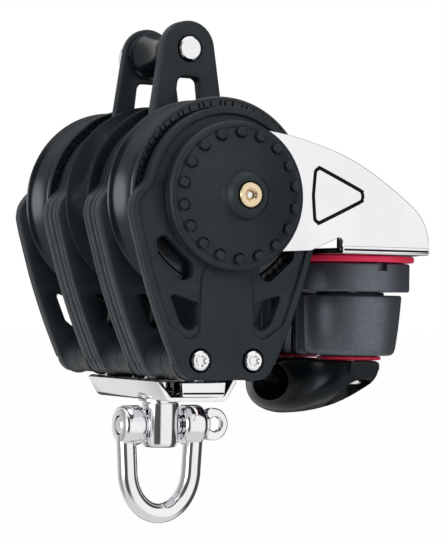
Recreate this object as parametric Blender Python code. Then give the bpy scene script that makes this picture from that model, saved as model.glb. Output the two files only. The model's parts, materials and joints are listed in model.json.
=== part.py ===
"""Three-sheave rope block with a becket, a swivel shackle and a cam cleat on a tilting arm.

All lengths below are millimetres and are turned into metres when a mesh is made.
X points from the sheaves to the cleat, Y runs along the main axle from the peg cover to
the axle nut, and Z points up.  Pieces are laid out from the middle of the main axle, and
one empty lifts them so that the row's origin is the inside crown of the shackle's bow.
"""
import math

import bmesh
import bpy
from mathutils import Vector
from mathutils.geometry import tessellate_polygon

MM = 0.001

# ---------------------------------------------------------------- driving dimensions
AXLE_HEIGHT = 90.0            # main axle above the inside crown of the shackle's bow
SHEAVE_RADIUS = 28.5
SHEAVE_WIDTH = 16.5
SHEAVE_PITCH = 29.4           # from one sheave's middle to the next, along Y
RUN_GAP = 0.3                 # clearance between pieces that move or touch

AXLE_RADIUS = 5.0
HUB_OUTER = 7.6
BALL_INNER = 7.9
BALL_OUTER = 10.9
SHEAVE_BORE = 11.2
BALL_COUNT = 12
PAWL_PIVOT = (0.0, 10.05)     # the upper pawl's pin; the lower pawl's is opposite it

BOLT_X = 8.4                  # the two bolts through the cheeks' lower corners
BOLT_Z = -46.3
BOLT_RADIUS = 2.2
BOLT_HEAD_RADIUS = 3.0
SPACER_RADIUS = 4.8

CHEEK_THICK = 4.2             # outermost cheeks
CHEEK_INNER_THICK = 4.4       # cheeks behind the outer sheaves
CHEEK_MIDDLE_THICK = 2.55     # cheeks beside the middle sheave
CHEEK_TOP_RADIUS = 25.4

LUG_NEAR = 11.4               # becket plate, from its inner to its outer face
LUG_FAR = 16.0
LUG_TOP_RADIUS = 8.2
LUG_BASE_RADIUS = 15.0
BECKET_Z = 44.1
BECKET_PIN_RADIUS = 3.55

SHEET_THICK = 1.7             # stainless sheet of the arm and the hanger
ARM_INNER = 42.7              # inside face of each side plate of the arm, from Y = 0
ARM_DISC_RADIUS = 20.9
SHELF_TOP = -13.6
SHELF_BOTTOM = SHELF_TOP - SHEET_THICK
SHELF_NEAR_X = 36.0
SHELF_FAR_X = 72.5
NUT_PAD_RADIUS = 5.2          # raised rings on the shelf, under the cleat's two nuts
NUT_PAD_HEIGHT = 0.4

CAM_X = 53.5                  # the two cam posts
CAM_Y = 19.0
CAM_TOP = -27.1
CAM_BOTTOM = -45.1
CAM_OUTER_RADIUS = 15.8
CAM_TOOTH_RADIUS = 18.7
CAM_BORE = 4.9
PLATE_TOP = -15.5
PLATE_BOTTOM = -17.3
PLATE_RADIUS = 19.2
BASE_TOP = -17.6
BASE_BOTTOM = -26.1
BASE_RADIUS = 17.9
FAIRLEAD_TOP = -46.8
FAIRLEAD_DEPTH = 16.4
FAIRLEAD_END_DEPTH = 3.4
FAIRLEAD_HALF = 29.4
FAIRLEAD_NEAR = 16.4          # reach towards the sheaves and away from them, from the keel line
FAIRLEAD_FAR = 12.0
FAIRLEAD_KEEL_X = 53.0
FAIRLEAD_EYE_Z = -53.4
FAIRLEAD_EYE_RADIUS = 5.4
SCREW_SEAT = -50.6            # where the cleat screws' heads sit inside the fairlead
CLEAT_BORE = 2.7              # every hole that a cleat screw passes through
CLEAT_SCREW_RADIUS = 2.4

COVER_RADIUS = 21.2
COVER_BACK = -44.8
PEG_CIRCLE = 17.8
PEG_COUNT = 18
PEG_RADIUS = 1.5

HANGER_HALF_LENGTH = 24.0
HANGER_BOTTOM = -58.6
POST_RADIUS = 5.45
POST_TOP = -58.9
POST_BOTTOM = -73.1
SHACKLE_PIN_Z = -66.5
SHACKLE_PIN_RADIUS = 2.6
BOW_RADIUS = 2.9
BOW_HALF = 10.5
EAR_RADIUS = 5.1
EAR_INNER = 8.9
EAR_OUTER = 13.6


# ---------------------------------------------------------------- scene and materials
def clear_scene():
    for item in list(bpy.data.objects):
        bpy.data.objects.remove(item, do_unlink=True)


def material(name, colour, roughness, metallic=0.0):
    made = bpy.data.materials.new(name)
    made.use_nodes = True
    shader = made.node_tree.nodes["Principled BSDF"]
    shader.inputs["Base Color"].default_value = (*colour, 1.0)
    shader.inputs["Roughness"].default_value = roughness
    shader.inputs["Metallic"].default_value = metallic
    return made


PALETTE = {
    "nylon": ((0.075, 0.085, 0.09), 0.45, 0.0),
    "glossy_black": ((0.03, 0.034, 0.038), 0.18, 0.0),
    "cam_grey": ((0.14, 0.15, 0.16), 0.35, 0.6),
    "red": ((0.70, 0.03, 0.06), 0.35, 0.0),
    "stainless": ((0.78, 0.78, 0.79), 0.15, 1.0),
    "brass": ((0.80, 0.66, 0.38), 0.25, 1.0),
    "acetal": ((0.82, 0.81, 0.76), 0.4, 0.0),
}


# ---------------------------------------------------------------- outlines
def arc(centre, radius, start, end, steps):
    """Points on a circle from one angle to another, in degrees, both ends included."""
    points = []
    for step in range(steps + 1):
        angle = math.radians(start + (end - start) * step / steps)
        points.append((centre[0] + radius * math.cos(angle), centre[1] + radius * math.sin(angle)))
    return points


def circle(centre, radius, sides):
    return arc(centre, radius, 0.0, 360.0, sides)[:-1]


def mirrored(half):
    """Close a half outline, given from the top down on the +x side, across the first axis' zero."""
    return half + [(-x, y) for x, y in reversed(half)]


def two_circle_outline(top, top_radius, base, base_radius, steps):
    """The outline of two circles on one vertical line and the straight sides that touch both."""
    lean = math.degrees(math.asin((base_radius - top_radius) / (top[1] - base[1])))
    upper = arc(top, top_radius, lean, 180.0 - lean, steps)
    lower = arc(base, base_radius, 180.0 - lean, 360.0 + lean, steps)
    return upper + lower


def stadium(centre_x, half_length, radius, steps):
    """A slot shape in X and Y whose round ends are centred on the two cam posts."""
    near = arc((centre_x, -half_length), radius, 180.0, 360.0, steps)
    far = arc((centre_x, half_length), radius, 0.0, 180.0, steps)
    return near + far


def rounded_polygon(corners, radius, steps):
    """Replace each corner with an arc of the given radius."""
    points = []
    count = len(corners)
    for index, corner in enumerate(corners):
        here = Vector(corner)
        back = (Vector(corners[index - 1]) - here).normalized()
        ahead = (Vector(corners[(index + 1) % count]) - here).normalized()
        half = back.angle(ahead) / 2.0
        middle = here + (back + ahead).normalized() * (radius / math.sin(half))
        reach = radius / math.tan(half)
        start = here + back * reach - middle
        turn = (here + ahead * reach - middle).angle_signed(start)
        for step in range(steps + 1):
            angle = turn * step / steps
            spun = Vector((start.x * math.cos(angle) - start.y * math.sin(angle),
                           start.x * math.sin(angle) + start.y * math.cos(angle)))
            points.append(tuple(middle + spun))
    return points


# ---------------------------------------------------------------- solids
def place(axis, first, second, height):
    """A point from its two outline coordinates and its height along the extrusion axis."""
    if axis == "X":
        return (height, first, second)
    if axis == "Y":
        return (first, height, second)
    return (first, second, height)


def make(name, vertices, faces, finish, pivot=(0.0, 0.0, 0.0), crease=35.0):
    """Make one named object whose own origin is the pivot."""
    mesh = bpy.data.meshes.new(name)
    shifted = [((x - pivot[0]) * MM, (y - pivot[1]) * MM, (z - pivot[2]) * MM) for x, y, z in vertices]
    mesh.from_pydata(shifted, [], faces)
    shape = bmesh.new()
    shape.from_mesh(mesh)
    bmesh.ops.recalc_face_normals(shape, faces=shape.faces)
    shape.to_mesh(mesh)
    shape.free()
    mesh.shade_smooth()
    mesh.set_sharp_from_angle(angle=math.radians(crease))
    mesh.materials.append(material(name, *PALETTE[finish]))
    made = bpy.data.objects.new(name, mesh)
    bpy.context.collection.objects.link(made)
    made.parent = BLOCK
    made.location = Vector(pivot) * MM
    return made


def slab(outline, low, high, holes=(), shafts=(), axis="Y"):
    """An extruded outline.

    holes are loops that go straight through.  A shaft is (centre, rings): rings are
    (radius, height) pairs from the high face to the low one, so it can be a stepped bore
    or, with a ring above the high face, a boss.
    """
    vertices = []
    faces = []

    def add_loop(loop, height):
        start = len(vertices)
        vertices.extend(place(axis, first, second, height) for first, second in loop)
        return list(range(start, start + len(loop)))

    def bridge(upper, lower):
        count = len(upper)
        for index in range(count):
            after = (index + 1) % count
            faces.append((upper[index], upper[after], lower[after], lower[index]))

    def cap(loops):
        flat = [[Vector((*_flat(axis, vertices[index]), 0.0)) for index in loop] for loop in loops]
        order = [index for loop in loops for index in loop]
        faces.extend(tuple(order[corner] for corner in triangle) for triangle in tessellate_polygon(flat))

    tops = [add_loop(outline, high)]
    bottoms = [add_loop(outline, low)]
    bridge(tops[0], bottoms[0])
    for hole in holes:
        tops.append(add_loop(hole, high))
        bottoms.append(add_loop(hole, low))
        bridge(tops[-1], bottoms[-1])
    for centre, rings in shafts:
        sides = 16
        chain = [add_loop(circle(centre, radius, sides), height) for radius, height in rings]
        for upper, lower in zip(chain, chain[1:]):
            bridge(upper, lower)
        tops.append(chain[0])
        bottoms.append(chain[-1])
    cap(tops)
    cap(bottoms)
    return vertices, faces


def _flat(axis, point):
    if axis == "X":
        return point[1], point[2]
    if axis == "Y":
        return point[0], point[2]
    return point[0], point[1]


def turned(profile, sides, axis="Y", centre=(0.0, 0.0), radius_scale=None):
    """Turn a profile of (radius, height) pairs about an axis.

    A profile that starts and ends at radius 0 is a solid; any other profile is a closed
    loop, which makes a ring.  radius_scale(angle, radius, height) may shape the rim.
    """
    vertices = []
    faces = []
    solid = profile[0][0] == 0.0
    loops = []
    for radius, height in profile:
        if radius == 0.0:
            vertices.append(place(axis, centre[0], centre[1], height))
            loops.append([len(vertices) - 1] * sides)
            continue
        start = len(vertices)
        for side in range(sides):
            angle = 2.0 * math.pi * side / sides
            reach = radius * (radius_scale(angle, radius, height) if radius_scale else 1.0)
            first = centre[0] + reach * math.cos(angle)
            second = centre[1] + reach * math.sin(angle)
            vertices.append(place(axis, first, second, height))
        loops.append(list(range(start, start + sides)))
    pairs = list(zip(loops, loops[1:]))
    if not solid:
        pairs.append((loops[-1], loops[0]))
    for one, other in pairs:
        for side in range(sides):
            after = (side + 1) % sides
            corners = [one[side], one[after], other[after], other[side]]
            unique = tuple(dict.fromkeys(corners))
            if len(unique) > 2:
                faces.append(unique)
    return vertices, faces


def tube(path, radius, sides):
    """A round bar along a path of points, with flat ends."""
    vertices = []
    faces = []
    points = [Vector(point) for point in path]
    normal = None
    for index, point in enumerate(points):
        before = points[max(index - 1, 0)]
        after = points[min(index + 1, len(points) - 1)]
        along = (after - before).normalized()
        if normal is None:
            normal = along.orthogonal().normalized()
        normal = (normal - along * normal.dot(along)).normalized()
        across = along.cross(normal)
        for side in range(sides):
            angle = 2.0 * math.pi * side / sides
            offset = normal * math.cos(angle) + across * math.sin(angle)
            vertices.append(tuple(point + offset * radius))
    for index in range(len(points) - 1):
        for side in range(sides):
            after = (side + 1) % sides
            base = index * sides
            faces.append((base + side, base + after, base + sides + after, base + sides + side))
    faces.append(tuple(range(sides)))
    faces.append(tuple(range(len(vertices) - sides, len(vertices))))
    return vertices, faces


def helix(centre, radius, low, high, turns, steps, axis):
    points = []
    for step in range(steps + 1):
        angle = 2.0 * math.pi * turns * step / steps
        height = low + (high - low) * step / steps
        first = centre[0] + radius * math.cos(angle)
        second = centre[1] + radius * math.sin(angle)
        points.append(place(axis, first, second, height))
    return points


def combine(target, tool, operation, solver="EXACT"):
    """Union a hidden helper with an object, or cut the helper out of it."""
    tool.hide_render = True
    tool.display_type = "WIRE"
    step = target.modifiers.new(operation.lower(), "BOOLEAN")
    step.operation = operation
    step.solver = solver
    step.object = tool


def helper(name, vertices, faces):
    return make(name, vertices, faces, "nylon")


# ---------------------------------------------------------------- cheeks
CHEEK_SIDE = [
    (29.4, -1.6), (30.0, -4.6), (29.5, -8.0), (27.6, -14.5), (25.0, -23.5),
    (21.1, -34.5), (17.6, -43.0), (15.4, -47.6),
]


def cheek_outline():
    """A round top over the sheave, shoulders that step out past it, and a tapered foot."""
    top = arc((0.0, 0.0), CHEEK_TOP_RADIUS, 90.0, 12.0, 12)
    neck = [(26.4, 3.4), (28.2, 1.0)]
    foot = arc((9.6, -46.4), 5.4, -12.0, -90.0, 4)
    half = top + neck + CHEEK_SIDE + foot
    return mirrored(half[1:])


def cheek_windows():
    """A slanted slot and a teardrop on each side of the central spine."""
    loops = []
    for side in (-1.0, 1.0):
        slot = [(side * 22.0, -12.4), (side * 19.3, -11.4), (side * 10.6, -19.4),
                (side * 10.9, -23.4), (side * 13.6, -24.2), (side * 21.4, -17.4)]
        drop = [(side * 17.9, -27.4), (side * 8.4, -30.4), (side * 8.4, -36.0),
                (side * 11.4, -38.2), (side * 14.4, -36.0)]
        for corners in (slot, drop):
            loops.append(rounded_polygon(corners, 1.0, 2))
    return loops


def cheek(name, face_y, inner_y, boss_y, head_recess=False):
    """A cheek plate with the axle hole and half of each spacer on its sheave's side."""
    low, high = sorted((face_y, inner_y))
    boss_is_high = boss_y > high
    shafts = []
    if head_recess:
        outer_rings = [(BOLT_HEAD_RADIUS + 0.4, face_y + 2.0), (BOLT_HEAD_RADIUS + 0.4, face_y)]
    else:
        outer_rings = [(BOLT_RADIUS + 0.25, face_y)]
    for side in (-1.0, 1.0):
        rings = [(SPACER_RADIUS, inner_y), (SPACER_RADIUS, boss_y), (BOLT_RADIUS + 0.25, boss_y)]
        if head_recess:
            rings.append((BOLT_RADIUS + 0.25, face_y + 2.0))
        rings.extend(outer_rings)
        if not boss_is_high:
            rings.reverse()
        shafts.append(((side * BOLT_X, BOLT_Z), rings))
    axle_hole = [(AXLE_RADIUS + 0.25, high), (AXLE_RADIUS + 0.25, low)]
    shafts.append(((0.0, 0.0), axle_hole))
    solid = slab(cheek_outline(), low, high, cheek_windows(), shafts)
    return make(name, *solid, "nylon")


def build_cheeks():
    half = SHEAVE_WIDTH / 2.0 + RUN_GAP
    for side, outer, inner, middle in ((-1.0, "front_cheek", "front_inner_cheek", "middle_front_cheek"),
                                       (1.0, "rear_cheek", "rear_inner_cheek", "middle_rear_cheek")):
        sheave = side * SHEAVE_PITCH
        split = RUN_GAP / 2.0
        outer_inside = sheave + side * half
        cheek(outer, outer_inside + side * CHEEK_THICK, outer_inside, sheave + side * split,
              head_recess=side < 0.0)
        inner_inside = sheave - side * half
        cheek(inner, inner_inside - side * CHEEK_INNER_THICK, inner_inside, sheave - side * split)
        middle_inside = side * half
        cheek(middle, middle_inside + side * CHEEK_MIDDLE_THICK, middle_inside, side * split)


# ---------------------------------------------------------------- sheaves and bearings
def groove_profile():
    """Rim to rim across the groove, as (radius, height from the sheave's middle)."""
    return [(28.5, -8.25), (28.5, -7.3), (26.2, -6.3), (23.6, -4.2), (22.3, -1.6),
            (22.3, 1.6), (23.6, 4.2), (26.2, 6.3), (28.5, 7.3), (28.5, 8.25)]


def ratchet_facets(angle, radius, height):
    """Eight flats around the groove of the ratchet sheave, fading out towards its rims."""
    if radius > 26.0 or radius < 20.0:
        return 1.0
    sector = math.radians(45.0)
    off = (angle % sector) - sector / 2.0
    flat = math.cos(sector / 2.0) / math.cos(off)
    weight = (26.2 - radius) / 4.0
    return 1.0 + (flat - 1.0) * max(0.0, min(1.0, weight)) * 0.9


def build_sheaves():
    sides = 40
    far_web = [(25.2, 8.25), (25.2, 7.4), (13.0, 7.4), (13.0, 8.25), (SHEAVE_BORE, 8.25)]
    near_web = [(radius, -height) for radius, height in reversed(far_web)]
    plain = groove_profile() + far_web + near_web
    gear_seat = 18.5
    gear_depth = -4.4
    ratchet = groove_profile() + far_web + [(SHEAVE_BORE, gear_depth), (gear_seat, gear_depth),
                                            (gear_seat, -8.25)]
    for name, middle, profile, shape in (("front_sheave", -SHEAVE_PITCH, plain, None),
                                         ("middle_sheave", 0.0, ratchet, ratchet_facets),
                                         ("rear_sheave", SHEAVE_PITCH, plain, None)):
        moved = [(radius, height + middle) for radius, height in profile]
        solid = turned(moved, sides, radius_scale=shape)
        make(name, *solid, "glossy_black" if shape is None else "nylon", pivot=(0.0, middle, 0.0))


def ball_ring_outline():
    """Twelve balls held in one cage, seen along the axle."""
    points = []
    steps = 4
    for index in range(BALL_COUNT * steps):
        angle = 2.0 * math.pi * index / (BALL_COUNT * steps)
        swell = (0.5 + 0.5 * math.cos(angle * BALL_COUNT)) ** 0.7
        radius = BALL_OUTER - 0.9 * (1.0 - swell)
        points.append((radius * math.cos(angle), radius * math.sin(angle)))
    return points


def build_bearings():
    for name, middle, low, high in (("front", -SHEAVE_PITCH, -7.9, 7.9), ("middle", 0.0, -4.0, 7.9),
                                    ("rear", SHEAVE_PITCH, -7.9, 7.9)):
        race = [(HUB_OUTER, middle - 8.2), (HUB_OUTER, middle + 8.2),
                (AXLE_RADIUS + 0.25, middle + 8.2), (AXLE_RADIUS + 0.25, middle - 8.2)]
        make(f"{name}_inner_race", *turned(race, 24), "acetal")
        inner = circle((0.0, 0.0), BALL_INNER, 24)
        ring = slab(ball_ring_outline(), middle + low, middle + high, [inner])
        make(f"{name}_ball_ring", *ring, "acetal", pivot=(0.0, middle, 0.0))


def build_ratchet():
    """An inward-toothed ring in the middle sheave, and two pawls standing clear of its teeth."""
    teeth = 24
    tip = 13.3
    root = 14.9
    gear = []
    for index in range(teeth):
        start = 360.0 * index / teeth
        for part, radius in ((0.0, tip), (0.16, tip), (0.30, root), (0.62, root - 0.4)):
            angle = math.radians(start + part * 360.0 / teeth)
            gear.append((radius * math.cos(angle), radius * math.sin(angle)))
    rim = circle((0.0, 0.0), 18.2, 48)
    low = -SHEAVE_WIDTH / 2.0 + 0.15
    make("ratchet_gear", *slab(rim, low, -4.7, [gear]), "stainless")
    for name, side in (("upper_pawl", 1.0), ("lower_pawl", -1.0)):
        shape = [(-1.6, 9.1), (0.9, 8.7), (6.6, 9.3), (7.3, 10.5), (6.3, 11.1), (1.0, 11.4), (-1.5, 11.0)]
        outline = [(side * x, side * z) for x, z in shape]
        pivot = (side * PAWL_PIVOT[0], 0.0, side * PAWL_PIVOT[1])
        pin_hole = circle((pivot[0], pivot[2]), 0.7, 8)
        make(name, *slab(outline, low, -4.9, [pin_hole]), "stainless", pivot=pivot)


# ---------------------------------------------------------------- axle, cover and nut
def build_axle():
    front = COVER_BACK - 0.4
    shoulder = -ARM_INNER + 0.3
    shaft = [(0.0, 51.2), (3.7, 51.2), (3.7, -shoulder), (AXLE_RADIUS, -shoulder), (AXLE_RADIUS, shoulder),
             (6.3, shoulder), (6.3, front), (2.9, front), (2.9, -36.0), (0.0, -36.0)]
    make("axle", *turned(shaft, 24), "stainless")
    make("axle_washer", *turned([(9.6, 44.7), (9.6, 45.9), (4.0, 45.9), (4.0, 44.7)], 32), "stainless")
    nut = circle((0.0, 0.0), 7.4, 6)
    bore = circle((0.0, 0.0), 4.0, 16)
    make("axle_nut", *slab(nut, 46.2, 50.6, [bore]), "stainless")


def build_cover():
    """A domed disc over the arm's pivot, with a ring of studs and a frustum for the adjuster."""
    outer = [(COVER_RADIUS, COVER_BACK), (COVER_RADIUS, -46.6), (20.5, -47.6), (19.4, -48.1),
             (14.0, -49.9), (7.4, -52.4), (5.6, -54.9), (3.9, -54.9)]
    inner = [(3.9, -52.2), (6.2, -51.0), (7.0, -50.4), (14.0, -47.4), (18.6, -46.0), (19.2, COVER_BACK)]
    cover = make("peg_cover", *turned(outer + inner, 40), "nylon")
    vertices = []
    faces = []
    for index in range(PEG_COUNT):
        angle = math.radians(90.0 + 360.0 * index / PEG_COUNT)
        centre = (PEG_CIRCLE * math.cos(angle), PEG_CIRCLE * math.sin(angle))
        peg_vertices, peg_faces = slab(circle(centre, PEG_RADIUS, 8), -49.6, -47.6)
        faces.extend(tuple(corner + len(vertices) for corner in face) for face in peg_faces)
        vertices.extend(peg_vertices)
    combine(cover, helper("cover_pegs", vertices, faces), "UNION")

    screw = [(0.0, -38.0), (2.55, -38.0), (2.55, -52.0), (3.45, -52.0), (3.45, -55.2), (1.6, -55.2),
             (1.6, -52.6), (0.0, -52.6)]
    make("adjuster_screw", *turned(screw, 20), "brass")
    coil = helix((0.0, 0.0), 4.3, -45.9, -50.2, 2.5, 40, "Y")
    make("adjuster_spring", *tube(coil, 0.45, 5), "stainless")


# ---------------------------------------------------------------- becket
def becket_window():
    corners = [(-3.2, 35.6), (3.2, 35.6), (4.8, 21.0), (-4.8, 21.0)]
    return rounded_polygon(corners, 1.9, 3)


def build_becket():
    outline = two_circle_outline((0.0, BECKET_Z), LUG_TOP_RADIUS, (0.0, 0.0), LUG_BASE_RADIUS, 14)
    for name, side in (("front_becket_plate", -1.0), ("rear_becket_plate", 1.0)):
        low, high = sorted((side * LUG_NEAR, side * LUG_FAR))
        pin_hole = [(BECKET_PIN_RADIUS + 0.25, high), (BECKET_PIN_RADIUS + 0.25, low)]
        axle_hole = [(AXLE_RADIUS + 0.25, high), (AXLE_RADIUS + 0.25, low)]
        shafts = [((0.0, BECKET_Z), pin_hole), ((0.0, 0.0), axle_hole)]
        make(name, *slab(outline, low, high, [becket_window()], shafts), "nylon")
    centre = (0.0, BECKET_Z)
    pin = [(0.0, -16.7), (BECKET_PIN_RADIUS, -16.7), (BECKET_PIN_RADIUS, 16.4), (2.6, 16.4), (2.6, 22.2),
           (0.0, 22.2)]
    make("becket_pin", *turned(pin, 24, centre=centre), "stainless")
    clip = [(4.7, 16.7), (4.7, 20.6), (2.9, 20.6), (2.9, 16.7)]
    make("becket_pin_nut", *turned(clip, 24, centre=centre), "stainless")
    spool = [(7.0, -11.0), (6.7, -9.6), (5.4, -6.0), (5.0, 0.0), (5.4, 6.0), (6.7, 9.6), (7.0, 11.0),
             (3.85, 11.0), (3.85, -11.0)]
    make("becket_thimble", *turned(spool, 28, centre=centre), "glossy_black", pivot=(0.0, 0.0, BECKET_Z))


# ---------------------------------------------------------------- bolts and hanger
def build_bolts():
    front = -SHEAVE_PITCH - SHEAVE_WIDTH / 2.0 - RUN_GAP - CHEEK_THICK
    rear = -front
    for name, side in (("left", -1.0), ("right", 1.0)):
        centre = (side * BOLT_X, BOLT_Z)
        bolt = [(0.0, front + 1.3), (1.5, front + 1.3), (1.5, front - 0.5), (2.5, front - 0.5),
                (BOLT_HEAD_RADIUS, front), (BOLT_HEAD_RADIUS, front + 1.8), (BOLT_RADIUS, front + 1.8),
                (BOLT_RADIUS, rear + 4.2), (0.0, rear + 4.2)]
        make(f"{name}_through_bolt", *turned(bolt, 20, centre=centre), "stainless")
        nut = circle(centre, 4.1, 6)
        bore = circle(centre, BOLT_RADIUS + 0.25, 12)
        make(f"{name}_bolt_nut", *slab(nut, rear + 0.3, rear + 3.6, [bore]), "stainless")


def build_hanger():
    """A folded tray under the cheeks, with two uprights that the through bolts pass through."""
    lip = 1.1
    outer = [(-12.9, -52.9), (-9.2, HANGER_BOTTOM + 0.7), (-8.0, HANGER_BOTTOM), (8.0, HANGER_BOTTOM),
             (9.2, HANGER_BOTTOM + 0.7), (12.9, -52.9)]
    inner = [(11.7, -52.3), (8.2, HANGER_BOTTOM + lip + 0.8), (7.6, HANGER_BOTTOM + lip + 0.3),
             (-7.6, HANGER_BOTTOM + lip + 0.3), (-8.2, HANGER_BOTTOM + lip + 0.8), (-11.7, -52.3)]
    tray = slab(outer + inner, -HANGER_HALF_LENGTH, HANGER_HALF_LENGTH)
    hanger = make("hanger", *tray, "stainless")
    middle = (LUG_NEAR + LUG_FAR) / 2.0
    for name, side in (("front", -1.0), ("rear", 1.0)):
        outline = rounded_polygon([(-11.8, -42.0), (11.8, -42.0), (12.1, -53.8), (-12.1, -53.8)], 1.2, 2)
        low = side * middle - SHEET_THICK / 2.0
        high = side * middle + SHEET_THICK / 2.0
        shafts = [((x, BOLT_Z), [(BOLT_RADIUS + 0.25, high), (BOLT_RADIUS + 0.25, low)])
                  for x in (-BOLT_X, BOLT_X)]
        upright = slab(outline, low, high, (), shafts)
        combine(hanger, helper(f"{name}_hanger_upright", *upright), "UNION", "MANIFOLD")
    stem = turned([(0.0, -62.0), (3.6, -62.0), (3.6, -54.0), (0.0, -54.0)], 20, axis="Z")
    combine(hanger, helper("hanger_stem_hole", *stem), "DIFFERENCE", "MANIFOLD")


# ---------------------------------------------------------------- swivel and shackle
def build_swivel():
    edge = 1.0
    post = [(0.0, -51.8), (2.6, -51.8), (3.3, -52.2), (3.3, POST_TOP - 0.9), (POST_RADIUS, POST_TOP - 0.9),
            (POST_RADIUS, POST_BOTTOM + edge), (POST_RADIUS - edge, POST_BOTTOM), (0.0, POST_BOTTOM)]
    barrel = make("swivel_post", *turned(post, 28, axis="Z"), "stainless")
    hole = turned([(0.0, -9.0), (2.9, -9.0), (2.9, 9.0), (0.0, 9.0)], 20, axis="X",
                  centre=(0.0, SHACKLE_PIN_Z))
    combine(barrel, helper("post_pin_hole", *hole), "DIFFERENCE")
    washer = [(6.4, POST_TOP), (6.4, POST_TOP - 0.6), (3.6, POST_TOP - 0.6), (3.6, POST_TOP)]
    make("swivel_washer", *turned(washer, 28, axis="Z"), "stainless")
    nut = [(6.2, -56.8), (6.2, -53.0), (5.6, -52.5), (3.6, -52.5), (3.6, -56.8)]
    make("swivel_nut", *turned(nut, 28, axis="Z"), "stainless")


def bow_path():
    """Down one leg, round the crown and up the other leg, in the XZ plane."""
    crown = -AXLE_HEIGHT - BOW_RADIUS
    start_z = -79.5
    leg = [(-11.0, SHACKLE_PIN_Z - 3.2), (-10.9, -73.0), (-10.7, -76.5)]
    steps = 12
    round_end = []
    for step in range(steps + 1):
        angle = math.pi * step / steps
        round_end.append((-BOW_HALF * math.cos(angle), start_z + (crown - start_z) * math.sin(angle)))
    whole = leg + round_end + [(-x, z) for x, z in reversed(leg)]
    return [(x, 0.0, z) for x, z in whole]


def build_shackle():
    pivot = (0.0, 0.0, SHACKLE_PIN_Z)
    vertices, faces = tube(bow_path(), BOW_RADIUS, 10)
    bow = make("shackle_bow", vertices, faces, "stainless", pivot=pivot)
    for name, side in (("left", -1.0), ("right", 1.0)):
        low, high = sorted((side * EAR_INNER, side * EAR_OUTER))
        ear = turned([(0.0, low), (EAR_RADIUS, low), (EAR_RADIUS, high), (0.0, high)], 24, axis="X",
                     centre=(0.0, SHACKLE_PIN_Z))
        combine(bow, helper(f"{name}_shackle_ear", *ear), "UNION")
    bore = turned([(0.0, -20.0), (2.9, -20.0), (2.9, 20.0), (0.0, 20.0)], 20, axis="X",
                  centre=(0.0, SHACKLE_PIN_Z))
    combine(bow, helper("shackle_pin_bore", *bore), "DIFFERENCE")

    shaft = [(0.0, -EAR_OUTER - 0.2), (SHACKLE_PIN_RADIUS - 0.4, -EAR_OUTER - 0.2),
             (SHACKLE_PIN_RADIUS, -EAR_OUTER + 0.2), (SHACKLE_PIN_RADIUS, 13.9), (3.4, 13.9), (3.4, 15.2),
             (0.0, 15.2)]
    pin = make("shackle_pin", *turned(shaft, 20, axis="X", centre=(0.0, SHACKLE_PIN_Z)), "stainless",
               pivot=pivot)
    eye_centre = (17.3, SHACKLE_PIN_Z)
    eye_outline = arc(eye_centre, 4.9, -118.0, 118.0, 18)
    eye_hole = circle((18.0, SHACKLE_PIN_Z), 2.2, 14)
    combine(pin, helper("shackle_pin_eye", *slab(eye_outline, -1.4, 1.4, [eye_hole])), "UNION")


# ---------------------------------------------------------------- cleat arm
ARM_TOP = [(18.4, 18.0), (26.0, 16.1), (33.7, 13.8), (41.1, 10.7), (48.7, 6.4), (56.3, 1.3), (61.0, -2.2),
           (63.6, -5.8), (65.2, -10.2), (65.4, SHELF_TOP)]
ARM_UNDER = [(33.6, SHELF_TOP), (33.4, -11.6), (25.5, -14.6)]


def arm_side_outline():
    """A disc round the axle that runs out into the side of the arm."""
    disc = arc((0.0, 0.0), ARM_DISC_RADIUS, 316.0, 66.0, 22)
    return disc + ARM_TOP + ARM_UNDER


def shelf_outline():
    """The shelf seen from above: the arm's width, with a wider middle under the cleat."""
    edge = ARM_INNER + SHEET_THICK
    bulge = 29.0
    half = [(SHELF_NEAR_X, edge), (65.4, edge), (66.6, edge - 6.0), (SHELF_FAR_X - 2.0, bulge + 2.0),
            (SHELF_FAR_X, bulge - 2.0)]
    return half + [(x, -y) for x, y in reversed(half)]


def build_arm():
    far_edge = ARM_INNER + SHEET_THICK
    pad_top = SHELF_TOP + NUT_PAD_HEIGHT
    pad_rings = [(NUT_PAD_RADIUS, SHELF_TOP), (NUT_PAD_RADIUS, pad_top), (CLEAT_BORE, pad_top),
                 (CLEAT_BORE, SHELF_BOTTOM)]
    screw_holes = [((CAM_X, y), pad_rings) for y in (-CAM_Y, CAM_Y)]
    shelf = slab(shelf_outline(), SHELF_BOTTOM, SHELF_TOP, (), screw_holes, axis="Z")
    arm = make("cleat_arm", *shelf, "stainless")
    for name, low, high in (("front", -far_edge, -ARM_INNER), ("rear", ARM_INNER, far_edge)):
        pivot_hole = [((0.0, 0.0), [(6.65, high), (6.65, low)])]
        outline = [(x, z - 0.4 if z == SHELF_TOP else z) for x, z in arm_side_outline()]
        side_plate = slab(outline, low, high, (), pivot_hole)
        combine(arm, helper(f"{name}_arm_plate", *side_plate), "UNION")


# ---------------------------------------------------------------- cleat
def cam_outline(side):
    """A plain round back and, facing the rope, a toothed spiral that shrinks towards the sheaves."""
    teeth = 9
    first = 70.0
    last = 172.0
    outline = []
    for index in range(teeth):
        for part, cut in ((0.0, 0.0), (0.7, 1.5)):
            share = (index + part) / teeth
            angle = first + (last - first) * share
            reach = CAM_TOOTH_RADIUS - 3.9 * max(0.0, (angle - 88.0) / (last - 88.0)) - cut
            reach = min(reach, (CAM_Y - 0.2) / max(0.2, math.sin(math.radians(angle))) - cut)
            outline.append((reach, angle))
    back = 22
    for index in range(back + 1):
        share = index / back
        angle = last + (360.0 + first - 8.0 - last) * share
        reach = CAM_OUTER_RADIUS - 1.2 * (1.0 - share) ** 2
        outline.append((reach, angle))
    points = []
    for reach, angle in outline:
        turn = math.radians(angle)
        points.append((CAM_X + reach * math.cos(turn), side * (reach * math.sin(turn) - CAM_Y)))
    return points


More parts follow.
